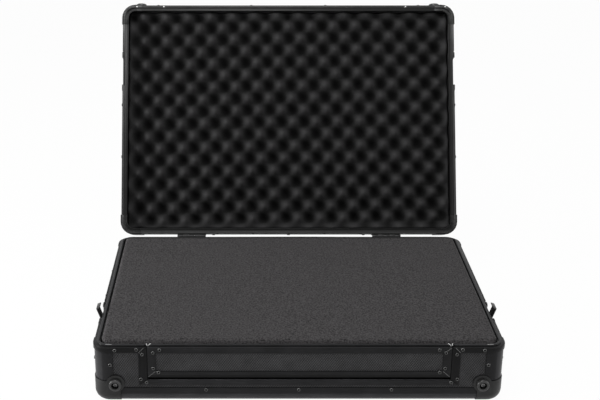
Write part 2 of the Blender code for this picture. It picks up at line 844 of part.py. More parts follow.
# Front access panel
def access_panel():
    panel = empty("access_panel", (0, -HALF_DEPTH, PARTING))
    half = PANEL_HALF_WIDTH
    path = [(-half, -PANEL_DEPTH), (half, -PANEL_DEPTH), (half, 0), (-half, 0)]
    section = [(depth, -inward) for inward, depth in male_section(PANEL_RAIL_FLANGE, RIM_INNER_FLANGE)]
    frame = swept("panel_frame", section, path, True)
    for vert in frame.data.vertices:
        if abs(abs(vert.co.x) - (half - PANEL_RAIL_FLANGE)) < WELD:
            vert.co.x = math.copysign(half - PANEL_STILE_FLANGE, vert.co.x)
    reshaped(frame, axes_matrix((1, 0, 0), (0, 0, 1), (0, -1, 0)))
    frame.parent = panel
    tongue_end = TONGUE_INSET + TONGUE_WIDTH
    sill_tongue = block(
        "sill_tongue",
        (-half, TONGUE_INSET, SILL_TONGUE_END_GAP - SILL_DEPTH - GROOVE_DEPTH),
        (half, tongue_end, WEB / 2 - PANEL_DEPTH),
    )
    fuse(frame, sill_tongue)
    dressed(frame, black_anodised())
    edge = MALE_BOARD_EDGE
    board = block(
        "panel_board",
        (edge - half, BOARD_FACE, edge - PANEL_DEPTH),
        (half - edge, BOARD_FACE + BOARD, -edge),
    )
    board.parent = panel
    dressed(board, laminate())


# Lid, modelled closed about its hinge line and then turned open
def lid_rim(z, material):
    # Four straight lengths, joined at the corners by cast corner pieces
    section = female_section(RIM_FLANGE, RIM_INNER_FLANGE)
    end_x = HALF_WIDTH - CORNER_PIECE_REACH - GAP
    end_y = HALF_DEPTH - CORNER_PIECE_REACH - GAP
    for side, turn in (("front", -1), ("back", 1)):
        path = [(-turn * end_x, turn * HALF_DEPTH), (turn * end_x, turn * HALF_DEPTH)]
        rim = swept("lid_rim_" + side, section, path, False)
        dressed(moved(rim, (0, 0, z)), material)
    for side, sign_x in (("left", -1), ("right", 1)):
        path = [(sign_x * HALF_WIDTH, sign_x * end_y), (sign_x * HALF_WIDTH, -sign_x * end_y)]
        rim = moved(swept("lid_rim_" + side, section, path, False), (0, 0, z))
        cut(rim, *rim_cutters("lid_rim_latch", sign_x, 1))
        dressed(rim, material)
    for corner, sign_x, sign_y in corners():
        signs = (sign_x, sign_y)
        piece = round_corner("lid_corner_" + corner, section, CORNER_PIECE_REACH, signs, z)
        fuse(piece, corner_sleeve("lid_sleeve_" + corner, signs, z, 1))
        dressed(piece, material)


def egg_crate_foam(z):
    # z is the closing plane of the lid
    side = HALF_WIDTH - PROFILE_DEPTH - EGG_SIDE_CLEARANCE
    half_depth = HALF_DEPTH - PROFILE_DEPTH - EGG_SIDE_CLEARANCE
    back = z + LID_HEIGHT - PROFILE_DEPTH - GAP
    trough = back - EGG_BASE_DEPTH
    peak = z + EGG_PEAK_BELOW_RIM
    columns = round(2 * side / EGG_PITCH_X * EGG_SAMPLES_PER_PITCH)
    rows = round(2 * half_depth / EGG_PITCH_Y * EGG_SAMPLES_PER_PITCH)
    bm = bmesh.new()
    bmesh.ops.create_grid(bm, x_segments=columns, y_segments=rows, size=1)
    wave_x = 2 * math.pi / EGG_PITCH_X
    wave_y = 2 * math.pi / EGG_PITCH_Y
    for vert in bm.verts:
        x = vert.co.x * side
        y = vert.co.y * half_depth
        rise = (1 + math.cos(wave_x * x) * math.cos(wave_y * y)) / 2
        vert.co = (x, y, trough + (peak - trough) * rise)
    border = bmesh.ops.extrude_face_region(bm, geom=list(bm.faces))["geom"]
    for item in border:
        if isinstance(item, bmesh.types.BMVert):
            item.co.z = back
    flat = [item for item in border if isinstance(item, bmesh.types.BMFace)]
    bmesh.ops.dissolve_faces(bm, faces=flat)
    bmesh.ops.recalc_face_normals(bm, faces=bm.faces)
    mesh = bpy.data.meshes.new("egg_crate_foam")
    bm.to_mesh(mesh)
    bm.free()
    return dressed(mesh_object("egg_crate_foam", mesh), grey_foam())


def lid_shell():
    z = PARTING + GAP
    board_bottom = z + FEMALE_BOARD_EDGE
    board_top = z + LID_HEIGHT - EDGE_BLOCK - GAP
    board = laminate()
    metal = black_anodised()
    flat_board("lid_top_board", z + LID_HEIGHT, 1, board)
    cross_board("lid_front_board", -1, board_bottom, board_top, board)
    cross_board("lid_back_board", 1, board_bottom, board_top, board)
    for side, sign_x in (("left", -1), ("right", 1)):
        wall = side_board("lid_" + side + "_board", sign_x, board_bottom, board_top, board)
        cut(wall, *board_cutters("lid_" + side, sign_x, 1, POCKET_START, POCKET_END))
    lid_rim(z, metal)
    edge_frame("lid_edge_profile", z, LID_HEIGHT, 1, metal)
    caps = black_plated()
    rubber = black_rubber()
    for corner, sign_x, sign_y in corners():
        signs = (sign_x, sign_y)
        foot_height = LID_FOOT_HEIGHT if sign_y < 0 else 0
        corner_cap("lid_cap_" + corner, signs, z, LID_HEIGHT, 1, LID_CAP_HEIGHT, foot_height, caps)
        if foot_height:
            front_foot("lid_foot_" + corner, sign_x, z, LID_HEIGHT, 1, foot_height, rubber)
    egg_crate_foam(z)


# Hinges, each about its own axis at the local origin
def hinge_leaf(name, sign_x, away, own, parent, material):
    # own lists the knuckles of this leaf; a leaf with away -1 hangs down
    half = HINGE_WIDTH / 2
    low = HINGE_LEAF_CORNER - HINGE_LEAF_HEIGHT
    quarter = math.pi / 2
    radius = HINGE_LEAF_CORNER
    outline = arc((half - radius, low), radius, -quarter, 0, SMALL_ARC_STEPS)
    outline += [(half, -GAP), (-half, -GAP)]
    outline += arc((radius - half, low), radius, 2 * quarter, 3 * quarter, SMALL_ARC_STEPS)
    leaf = extruded(name, outline, HINGE_LEAF)
    reshaped(leaf, axes_matrix((1, 0, 0), (0, 0, 1), (0, -1, 0)))
    leaf.data.transform(Matrix.Translation((0, GAP + HINGE_LEAF / 2 - HINGE_AXIS_OUT, 0)))
    reshaped(leaf, Matrix.Diagonal((1, 1, -away, 1)))
    fuse(leaf, cylinder(name + "_barrel", HINGE_KNUCKLE_RADIUS, HINGE_WIDTH, HINGE_STEPS, "X"))
    reach = HINGE_KNUCKLE_RADIUS + HINGE_NOTCH_CLEARANCE
    step = HINGE_WIDTH / HINGE_KNUCKLES
    for i in range(HINGE_KNUCKLES):
        if i in own:
            continue
        start = i * step - half - (GAP if i else OVERRUN)
        end = (i + 1) * step - half + (GAP if i < HINGE_KNUCKLES - 1 else OVERRUN)
        cut(leaf, block("notch", (start, -HINGE_AXIS_OUT, -reach), (end, reach, reach)))
    if away < 0:
        fuse(leaf, cylinder("pin", HINGE_PIN_RADIUS, HINGE_WIDTH - GAP, HINGE_STEPS, "X"))
    else:
        bore = HINGE_WIDTH + 2 * OVERRUN
        cut(leaf, cylinder("bore", HINGE_BORE_RADIUS, bore, HINGE_STEPS, "X"))
    place = Vector((sign_x * HINGE_PLACE, 0, 0))
    carried(leaf, parent, place if parent else place + HINGE_AXIS)
    return dressed(leaf, material)


def carried(ob, parent, place=(0, 0, 0)):
    # Puts a piece and its tools on a parent, place away from the parent's origin
    for item in [ob] + [change.object for change in ob.modifiers if change.type == "BOOLEAN"]:
        item.parent = parent
        moved(item, place)
    return ob


def hinges(lid, material):
    base_knuckles = range(0, HINGE_KNUCKLES, 2)
    lid_knuckles = range(1, HINGE_KNUCKLES, 2)
    for side, sign_x in (("left", -1), ("right", 1)):
        hinge_leaf("base_hinge_leaf_" + side, sign_x, -1, base_knuckles, None, material)
        hinge_leaf("lid_hinge_leaf_" + side, sign_x, 1, lid_knuckles, lid, material)


# Latch pieces. Local X points out of the case from the face of the boards, Y runs along
# the wall and Z up from the closing plane.
def slab(name, low, high, radius, inner, outer):
    # A rounded rectangle in Y and Z between two depths
    outline = rounded_rectangle(low, high, radius, SMALL_ARC_STEPS)
    ob = extruded(name, outline, outer - inner)
    return stood_up(ob, (inner + outer) / 2)


def stood_up(ob, depth):
    reshaped(ob, axes_matrix((0, 1, 0), (0, 0, 1), (1, 0, 0)))
    ob.data.transform(Matrix.Translation((depth, 0, 0)))
    return ob


def dish(name, sign_x, away, height, near, far, corner, material):
    # The pan's deep part runs from near to far, measured from the closing plane
    def span(start, end):
        return sorted((away * start, away * end))

    front = GAP + DISH_PLATE
    half = DISH_HALF_WIDTH
    low, high = span(GAP, height)
    plate = slab(name, (-half, low), (half, high), DISH_CORNER, GAP, front)
    half = PAN_HALF_WIDTH + DISH_WALL
    low, high = span(near - DISH_WALL, far + DISH_WALL)
    back = -PAN_FLOOR - DISH_WALL
    pan = slab("pan", (-half, low), (half, high), corner + DISH_WALL, back, front - SKIN)
    low, high = span(GAP, near + corner)
    back = -SHELF_FLOOR - DISH_WALL
    shelf = slab("shelf", (-half, low), (half, high), DISH_WALL, back, front - SKIN)
    half = PAN_HALF_WIDTH
    low, high = span(near, far)
    pan_recess = slab(
        "pan_recess", (-half, low), (half, high), corner, -PAN_FLOOR, front + OVERRUN
    )
    low, high = span(-OVERRUN, near + corner + DISH_WALL)
    shelf_recess = slab(
        "shelf_recess", (-half, low), (half, high), DISH_WALL, -SHELF_FLOOR, front + OVERRUN
    )
    for item in (plate, pan, shelf, pan_recess, shelf_recess):
        at_side(item, sign_x)
    fuse(plate, pan, shelf)
    cut(plate, pan_recess, shelf_recess)
    return dressed(plate, material)


def latch_hub(name, parent, material):
    cam_floor = GAP - PAN_FLOOR
    cap_floor = cam_floor + CAM_LAYER
    cap_face = cap_floor + HUB_LAYER
    hub = cylinder(name, HUB_RADIUS, HUB_LAYER, HUB_STEPS, "X")
    hub.data.transform(Matrix.Translation((cap_floor + HUB_LAYER / 2, 0, 0)))
    depth = CAM_LAYER + HUB_LAYER / 2
    cam = cylinder("cam", CAM_RADIUS, depth, HUB_STEPS, "X")
    cam.data.transform(Matrix.Translation((cam_floor + depth / 2, 0, CAM_OFFSET)))
    tools = [cam]
    start = WING_BARREL_HALF + PIN_CLEARANCE
    top = 2 * wing_axis_depth() - cap_face
    for side in (-1, 1):
        low, high = sorted((side * start, side * (start + LUG_THICKNESS)))
        inner = cap_face - HUB_LAYER / 2
        lug = block("lug", (inner, -LUG_HALF_WIDTH, low), (top, LUG_HALF_WIDTH, high))
        tools.append(lug)
    fuse(hub, *tools)
    length = 2 * (start + LUG_THICKNESS + OVERRUN)
    bore = cylinder("bore", PIN_RADIUS + PIN_CLEARANCE, length, PIN_STEPS)
    bore.data.transform(Matrix.Translation((wing_axis_depth(), 0, 0)))
    cut(hub, bore)
    carried(hub, parent)
    return dressed(hub, material)


def wing_axis_depth():
    return GAP - PAN_FLOOR + CAM_LAYER + HUB_LAYER + WING_AXIS_GAP + WING_BARREL_RADIUS


def latch_wing(name, parent, material):
    # The barrel lies along local Z and the folded wing along local Y
    neck = WING_BARREL_HALF
    outline = [(0, -neck), (WING_NECK, -neck)]
    stretch = (WING_LENGTH - WING_NECK) / WING_HALF_WIDTH
    for x, y in arc((0, 0), WING_HALF_WIDTH, -math.pi / 2, math.pi / 2, WING_STEPS):
        outline.append((WING_NECK + x * stretch, y))
    outline += [(WING_NECK, neck), (0, neck)]
    wing = stood_up(extruded(name, outline, WING_PLATE), 0)
    hole = cylinder("finger_hole", WING_HOLE_RADIUS, 2 * WING_PLATE, PIN_STEPS, "X")
    hole.data.transform(Matrix.Translation((0, WING_HOLE_PLACE, 0)))
    barrel = cylinder("barrel", WING_BARREL_RADIUS, 2 * WING_BARREL_HALF, PIN_STEPS)
    pin = cylinder("pin", PIN_RADIUS, 2 * (WING_BARREL_HALF + LUG_THICKNESS), PIN_STEPS)
    cut(wing, hole)
    fuse(wing, barrel, pin)
    carried(wing, parent)
    return dressed(wing, material)


def latch_link(name, parent, material):
    # Local Z = 0 is the hook's pin
    floor = GAP - PAN_FLOOR
    face = floor + LINK_PLATE
    cam_place = HOOK_PIN_DROP - HUB_DROP + CAM_OFFSET
    slot_half = CAM_RADIUS + LINK_SLOT_CLEARANCE
    low = cam_place - slot_half - LINK_END
    high = -HOOK_BARREL_RADIUS - HOOK_BARREL_CLEARANCE
    half = LINK_HALF_WIDTH
    link = slab(name, (-half, low), (half, high), SKIN, floor, face)
    width = LINK_SLOT_HALF_WIDTH
    slot = slab(
        "slot",
        (-width, cam_place - slot_half),
        (width, cam_place + slot_half),
        SKIN,
        floor - OVERRUN,
        face + OVERRUN,
    )
    cut(link, slot)
    eye_inner = HOOK_HALF_WIDTH + HOOK_SIDE_GAP
    eye_face = LINK_EYE_HALF - HOOK_PIN_DEPTH - PIN_CLEARANCE
    for side in (-1, 1):
        start, end = sorted((side * eye_inner, side * half))
        eye = block("eye", (floor, start, high - LINK_EYE_HALF), (eye_face, end, LINK_EYE_HALF))
        fuse(link, eye)
    bore = cylinder("bore", PIN_RADIUS + PIN_CLEARANCE, 2 * (half + OVERRUN), PIN_STEPS, "Y")
    bore.data.transform(Matrix.Translation((-HOOK_PIN_DEPTH, 0, 0)))
    cut(link, bore)
    carried(link, parent)
    return dressed(link, material)


def latch_hook(name, parent, material):
    # Local origin is the pin and local Z points up the hook
    half_plate = HOOK_PLATE / 2
    inner = HOOK_OUT - half_plate
    outer = HOOK_OUT + half_plate
    top = HOOK_PIN_DROP + HOOK_TOP
    tip = inner - HOOK_TIP
    outline = [
        (0, -half_plate),
        (outer, -half_plate),
        (outer, top),
        (tip, top),
        (tip, top - HOOK_PLATE),
        (inner, top - HOOK_PLATE),
        (inner, half_plate),
        (0, half_plate),
    ]
    hook = extruded(name, outline, 2 * HOOK_HALF_WIDTH)
    reshaped(hook, axes_matrix((1, 0, 0), (0, 0, 1), (0, -1, 0)))
    barrel = cylinder("barrel", HOOK_BARREL_RADIUS, 2 * HOOK_HALF_WIDTH, PIN_STEPS, "Y")
    pin = cylinder("pin", PIN_RADIUS, 2 * (LINK_HALF_WIDTH - PIN_CLEARANCE), PIN_STEPS, "Y")
    fuse(hook, barrel, pin)
    carried(hook, parent)
    return dressed(hook, material)


def latches(material):
    for side, sign_x in (("left", -1), ("right", 1)):
        name = side + "_latch_dish"
        dish(name, sign_x, -1, DISH_HEIGHT, PAN_TOP, PAN_BOTTOM, PAN_CORNER, material)
        frame = empty(side + "_latch", side_frame(sign_x).to_translation())
        frame.rotation_euler = side_frame(sign_x).to_euler()
        hub = empty(side + "_latch_turn", (0, 0, -HUB_DROP), frame)
        latch_hub(side + "_latch_hub", hub, material)
        wing = empty(side + "_latch_fold", (wing_axis_depth(), 0, 0), hub)
        latch_wing(side + "_latch_wing", wing, material)
        link = empty(side + "_latch_slide", (0, 0, -HOOK_PIN_DROP), frame)
        latch_link(side + "_latch_link", link, material)
        pin = empty(side + "_latch_pin", (-HOOK_PIN_DEPTH, 0, 0), link)
        pin.rotation_euler = (0, HOOK_LEAN, 0)
        latch_hook(side + "_latch_hook", pin, material)


# Folding handle on the back wall
def handle(plated, rubber):
    wall = HALF_DEPTH - BOARD_FACE
    centre = (0, wall, HANDLE_HEIGHT - BOARD_FACE)
    half = HANDLE_PLATE_HALF_WIDTH
    rise = HANDLE_PLATE_HALF_HEIGHT
    outline = rounded_rectangle((-half, -rise), (half, rise), DISH_CORNER, SMALL_ARC_STEPS)
    plate = extruded("handle_plate", outline, HANDLE_PLATE)
    reshaped(plate, axes_matrix((1, 0, 0), (0, 0, 1), (0, -1, 0)))
    plate.data.transform(Matrix.Translation((0, GAP + HANDLE_PLATE / 2, 0)))
    ear_outline = [(GAP + HANDLE_PLATE / 2, -EAR_RADIUS)]
    ear_outline += arc((HANDLE_PIVOT_OUT, 0), EAR_RADIUS, -math.pi / 2, math.pi / 2)
    ear_outline += [(GAP + HANDLE_PLATE / 2, EAR_RADIUS)]
    for side in (-1, 1):
        ear = extruded("ear", ear_outline, 2 * EAR_HALF_THICKNESS)
        reshaped(ear, axes_matrix((0, 1, 0), (0, 0, 1), (1, 0, 0)))
        ear.data.transform(Matrix.Translation((side * EAR_PLACE, 0, 0)))
        fuse(plate, ear)
    bore = cylinder("bore", BAIL_RADIUS + BAIL_BORE_CLEARANCE, 2 * half, HINGE_STEPS, "X")
    bore.data.transform(Matrix.Translation((0, HANDLE_PIVOT_OUT, 0)))
    cut(plate, bore)
    carried(plate, None, centre)
    dressed(plate, plated)
    pivot = empty("handle_pivot", (0, wall + HANDLE_PIVOT_OUT, centre[2]))
    bail = handle_bail()
    bail.parent = pivot
    dressed(bail, plated)
    bore = BAIL_RADIUS + BAIL_BORE_CLEARANCE
    length = GRIP_HALF_LENGTH
    end = length - GRIP_CHAMFER
    shoulder = GRIP_RADIUS - GRIP_CHAMFER
    profile = [
        (bore, -length),
        (shoulder, -length),
        (GRIP_RADIUS, -end),
        (GRIP_RADIUS, end),
        (shoulder, length),
        (bore, length),
    ]
    grip = turned("handle_grip", profile, FOOT_STEPS, True)
    grip.rotation_euler = (0, math.pi / 2, 0)
    grip.location = (0, 0, -BAIL_DROP)
    grip.parent = pivot
    dressed(grip, rubber)


def handle_bail():
    quarter = math.pi / 2
    turn = BAIL_BEND
    steps = BAIL_BEND_STEPS
    arm = BAIL_HALF_WIDTH
    half = [(BAIL_PIN_END, 0)]
    half += arc((arm + turn, -turn), turn, quarter, 2 * quarter, steps)
    half += arc((arm - turn, turn - BAIL_DROP), turn, 0, -quarter, steps)
    points = half + [(-x, z) for x, z in reversed(half)]
    data = bpy.data.curves.new("bail", "CURVE")
    data.dimensions = "3D"
    data.bevel_depth = BAIL_RADIUS
    data.bevel_resolution = 2
    data.use_fill_caps = True
    spline = data.splines.new("POLY")
    spline.points.add(len(points) - 1)
    for point, (x, z) in zip(spline.points, points):
        point.co = (x, 0, z, 1)
    ob = bpy.data.objects.new("bail", data)
    bpy.context.scene.collection.objects.link(ob)
    return mesh_from_curve(ob, "handle_bail", WELD)


# Whole lid
def open_lid(metal):
    # Made closed, then hung on its hinge line and turned open
    before = set(bpy.data.objects)
    lid_shell()
    for side, sign_x in (("left", -1), ("right", 1)):
        name = side + "_keeper_dish"
        dish(name, sign_x, 1, KEEPER_HEIGHT, POCKET_START, POCKET_END, POCKET_CORNER, metal)
    lid = empty("lid", HINGE_AXIS)
    for ob in set(bpy.data.objects) - before - {lid}:
        ob.parent = lid
        moved(ob, -HINGE_AXIS)
    lid.rotation_euler = (-LID_OPEN_ANGLE, 0, 0)
    return lid


start_scene()
plated_steel = black_plated()
base_shell()
foam_block()
access_panel()
hinges(open_lid(plated_steel), plated_steel)
latches(plated_steel)
handle(plated_steel, black_rubber())
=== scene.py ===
# Looks of the flight case: finishes, foam linings, rivets, screws, camera and light.
# Lengths are in metres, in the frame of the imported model.
import json
import math

import bmesh
import bpy
from mathutils import Matrix, Vector, noise

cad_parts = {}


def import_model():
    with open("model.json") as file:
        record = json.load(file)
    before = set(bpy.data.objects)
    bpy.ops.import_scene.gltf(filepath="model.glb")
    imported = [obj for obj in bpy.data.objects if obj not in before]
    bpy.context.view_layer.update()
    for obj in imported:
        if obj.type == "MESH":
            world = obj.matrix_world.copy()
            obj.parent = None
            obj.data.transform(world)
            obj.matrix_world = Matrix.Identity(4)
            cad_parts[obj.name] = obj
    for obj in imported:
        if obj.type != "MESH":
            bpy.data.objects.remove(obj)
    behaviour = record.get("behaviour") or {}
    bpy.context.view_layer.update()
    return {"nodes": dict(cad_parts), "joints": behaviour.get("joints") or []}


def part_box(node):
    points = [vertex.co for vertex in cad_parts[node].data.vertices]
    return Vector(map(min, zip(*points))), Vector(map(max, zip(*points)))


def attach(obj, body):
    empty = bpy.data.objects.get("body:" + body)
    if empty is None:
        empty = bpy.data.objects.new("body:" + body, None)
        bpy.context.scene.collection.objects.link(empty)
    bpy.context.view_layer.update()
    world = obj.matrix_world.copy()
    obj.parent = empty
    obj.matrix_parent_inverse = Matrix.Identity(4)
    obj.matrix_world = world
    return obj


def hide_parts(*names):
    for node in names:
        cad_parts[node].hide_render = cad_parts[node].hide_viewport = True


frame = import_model()
nodes = frame["nodes"]
joints = {joint["name"]: joint for joint in frame["joints"]}

# Places read from the frame
HALF_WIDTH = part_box("bottom_edge_profile")[1].x
HALF_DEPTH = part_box("bottom_edge_profile")[1].y
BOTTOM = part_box("bottom_edge_profile")[0].z
HINGE = Vector(joints["lid_hinge"]["pos_m"])
PARTING = HINGE.z
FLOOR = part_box("base_cap_front_left")[0].z
LID_ANGLE = math.radians(joints["lid_hinge"]["range_deg"][0])
LID_TURN = Matrix.Translation(HINGE) @ Matrix.Rotation(LID_ANGLE, 4, "X") @ Matrix.Translation(-HINGE)
HANDLE_HEIGHT = joints["handle_fold"]["pos_m"][2]
TONGUE_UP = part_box("base_rim")[1].z - PARTING

# Sizes of the solids that the details sit on
GAP = 0.0003
LID_HEIGHT = 0.055
LID_PLANE = PARTING + GAP
LID_TOP = LID_PLANE + LID_HEIGHT
BOARD_IN = 0.0015
PLATE_OUT = 0.0023
CAP_OUT = 0.0013
SLEEVE_OUT = 0.0016
TONGUE_IN = 0.005
TONGUE_WIDTH = 0.005
RIM_CORNER = 0.026
HINGE_LEAF = 0.0016
HINGE_PLACE = 0.203
LATCH_PLACE = 0.1405
FOOT_IN = 0.0367
FOOT_RECESS = 0.0042
BASE_FOOT_UP = 0.0375
LID_FOOT_DOWN = 0.0243

# Photograph's frame
IMAGE_WIDTH = 600
FOCAL_PIXELS = 1145.9
CENTRE_PIXEL_X = 243.9
CAMERA_PLACE = (-0.094, -1.960, 1.0248)
CAMERA_DOWN = math.radians(20.83)
SENSOR_WIDTH = 36.0


# Materials
class Graph:
    """A material's nodes, with short calls for the few node kinds used here."""

    def __init__(self, name, roughness, metallic, specular=0.5):
        self.material = bpy.data.materials.new(name)
        self.material.use_nodes = True
        self.tree = self.material.node_tree
        self.shader = self.tree.nodes["Principled BSDF"]
        self.shader.inputs["Roughness"].default_value = roughness
        self.shader.inputs["Metallic"].default_value = metallic
        self.shader.inputs["Specular IOR Level"].default_value = specular

    def node(self, kind, **values):
        made = self.tree.nodes.new(kind)
        for key, value in values.items():
            setattr(made, key, value)
        return made

    def link(self, source, target):
        self.tree.links.new(source, target)

    def position(self, in_lid=False, scale=(1, 1, 1)):
        # Object coordinates; for the lid, as they are with the lid closed
        place = self.node("ShaderNodeTexCoord").outputs["Object"]
        if in_lid:
            closed = LID_TURN.inverted()
            turn = self.node("ShaderNodeMapping")
            turn.inputs["Rotation"].default_value = closed.to_euler()
            turn.inputs["Location"].default_value = closed.to_translation()
            self.link(place, turn.inputs["Vector"])
            place = turn.outputs["Vector"]
        if scale != (1, 1, 1):
            stretch = self.node("ShaderNodeMapping")
            stretch.inputs["Scale"].default_value = scale
            self.link(place, stretch.inputs["Vector"])
            place = stretch.outputs["Vector"]
        return place

    def parts(self, vector):
        split = self.node("ShaderNodeSeparateXYZ")
        self.link(vector, split.inputs["Vector"])
        return split.outputs

    def noise(self, vector, scale, detail=3.0, rough=0.55):
        made = self.node("ShaderNodeTexNoise")
        made.inputs["Scale"].default_value = scale
        made.inputs["Detail"].default_value = detail
        made.inputs["Roughness"].default_value = rough
        self.link(vector, made.inputs["Vector"])
        return made.outputs["Fac"]

    def maths(self, operation, first, second=None):
        made = self.node("ShaderNodeMath", operation=operation)
        for socket, value in zip(made.inputs, (first, second)):
            if value is None:
                continue
            if isinstance(value, (int, float)):
                socket.default_value = value
            else:
                self.link(value, socket)
        return made.outputs["Value"]

    def mixed(self, *pairs):
        # A sum of sockets, each times its own share
        total = None
        for value, share in pairs:
            term = self.maths("MULTIPLY", value, share)
            total = term if total is None else self.maths("ADD", total, term)
        return total

    def ramp(self, value, *stops):
        # Each stop is (place, grey or colour)
        made = self.node("ShaderNodeValToRGB")
        elements = made.color_ramp.elements
        while len(elements) < len(stops):
            elements.new(0.5)
        for element, (place, colour) in zip(elements, stops):
            element.position = place
            colour = (colour,) * 3 if isinstance(colour, float) else colour
            element.color = (*colour, 1)
        self.link(value, made.inputs["Fac"])
        return made.outputs["Color"]

    def spread(self, value, low, high, to_low, to_high):
        # Maps low..high onto to_low..to_high and holds the ends
        made = self.node("ShaderNodeMapRange")
        names = ("From Min", "From Max", "To Min", "To Max")
        for name, number in zip(names, (low, high, to_low, to_high)):
            made.inputs[name].default_value = number
        self.link(value, made.inputs["Value"])
        return made.outputs["Result"]

    def scaled(self, colour, factor):
        made = self.node("ShaderNodeVectorMath", operation="SCALE")
        self.link(colour, made.inputs["Vector"])
        self.link(factor, made.inputs["Scale"])
        return made.outputs["Vector"]

    def shade_in_gaps(self, colour, distance, depth):
        # Painted shade: darker where a neighbour stands close, ambient occlusion put into the colour
        near = self.node("ShaderNodeAmbientOcclusion", samples=6)
        near.inputs["Distance"].default_value = distance
        return self.scaled(colour, self.spread(near.outputs["AO"], 0.45, 0.95, depth, 1.0))

    def colour(self, source):
        self.link(source, self.shader.inputs["Base Color"])

    def roughness(self, source):
        self.link(source, self.shader.inputs["Roughness"])

    def bump(self, height, strength, distance):
        made = self.node("ShaderNodeBump")
        made.inputs["Strength"].default_value = strength
        made.inputs["Distance"].default_value = distance
        self.link(height, made.inputs["Height"])
        self.link(made.outputs["Normal"], self.shader.inputs["Normal"])


HATCH_ACROSS = 0.00412
HATCH_UP = 0.0057
FILM_DARK = (0.003, 0.003, 0.0031)
FILM_LIGHT = (0.064, 0.0635, 0.066)


def laminate(name, axes, in_lid=False):
    # Black film with fine diagonal rows of dots pressed into it
    graph = Graph(name, 0.5, 0.0, 0.15)
    place = graph.position(in_lid)
    split = graph.parts(place)
    across = graph.maths("MULTIPLY", split[axes[0]], 2 * math.pi / HATCH_ACROSS)
    upward = graph.maths("MULTIPLY", split[axes[1]], 2 * math.pi / HATCH_UP)
    falling = graph.maths("SINE", graph.maths("SUBTRACT", across, upward))
    rising = graph.maths("SINE", graph.maths("ADD", across, upward))
    hatch = graph.mixed((falling, 0.65), (rising, 0.33))
    cloud = graph.noise(place, 45.0)
    grain = graph.noise(place, 420.0, 2.0)
    level = graph.mixed((hatch, 0.34), (cloud, 0.5), (grain, 0.5))
    film = graph.ramp(level, (0.12, FILM_DARK), (0.92, FILM_LIGHT))
    graph.colour(graph.shade_in_gaps(film, 0.003, 0.3))
    graph.roughness(graph.spread(cloud, 0.3, 0.7, 0.45, 0.6))
    graph.bump(hatch, 0.4, 0.0002)
    return graph.material


STREAK_STRETCH = 0.03
ANODISED_ROUGH = 0.34
# Painted light from the side lamps: brighter within a little of the profile's ends in x
LIT_CORNER_START = 0.0155
LIT_CORNER_END = 0.0140


def anodised(name, along, in_lid=False, low=0.006, high=0.016, band=None, gap_shade_depth=0.3, corner_light=1.0):
    # Drawn aluminium: faint streaks along the profile and a few scuffs.
    # A band is (axis, from, to, brightness before, brightness after): painted light and shade across the
    # profile.
    graph = Graph(name, ANODISED_ROUGH, 0.1, 0.13)
    scale = tuple(STREAK_STRETCH if axis == along else 1 for axis in "XYZ")
    streaks = graph.noise(graph.position(in_lid, scale), 1100.0, 2.0)
    cloud = graph.noise(graph.position(in_lid), 30.0)
    scuffs = graph.noise(graph.position(in_lid), 210.0, 5.0, 0.7)
    level = graph.mixed((streaks, 0.45), (cloud, 0.4), (scuffs, 0.15))
    metal = graph.ramp(level, (0.32, (low, low, low * 1.08)), (0.68, (high, high, high * 1.06)))
    if band:
        axis, *limits = band
        metal = graph.scaled(metal, graph.spread(graph.parts(graph.position(in_lid))[axis], *limits))
    # Painted light towards the ends in x
    if corner_light != 1.0:
        reach = graph.maths("ABSOLUTE", graph.parts(graph.position(in_lid))["X"])
        start = HALF_WIDTH - LIT_CORNER_START
        end = HALF_WIDTH - LIT_CORNER_END
        metal = graph.scaled(metal, graph.spread(reach, start, end, 1.0, corner_light))
    graph.colour(graph.shade_in_gaps(metal, 0.004, gap_shade_depth))
    graph.roughness(graph.spread(level, 0.35, 0.65, ANODISED_ROUGH - 0.06, ANODISED_ROUGH + 0.1))
    graph.bump(streaks, 0.15, 0.0001)
    return graph.material


CORNER_MARKS = 46.0
CORNER_OVERRUN = -0.004
RIM_LIGHT_REACH = 0.0125
# Painted light and shade across the rim's face from its outer edge: a dark outer line, a bright highlight
# band and a dark inner lip
RIM_LIGHT_BANDS = (
    (0.0, 0.35), (0.08, 0.4), (0.17, 1.0), (0.36, 0.9),
    (0.46, 0.45), (0.56, 0.7), (0.66, 0.3), (1.0, 0.15),
)


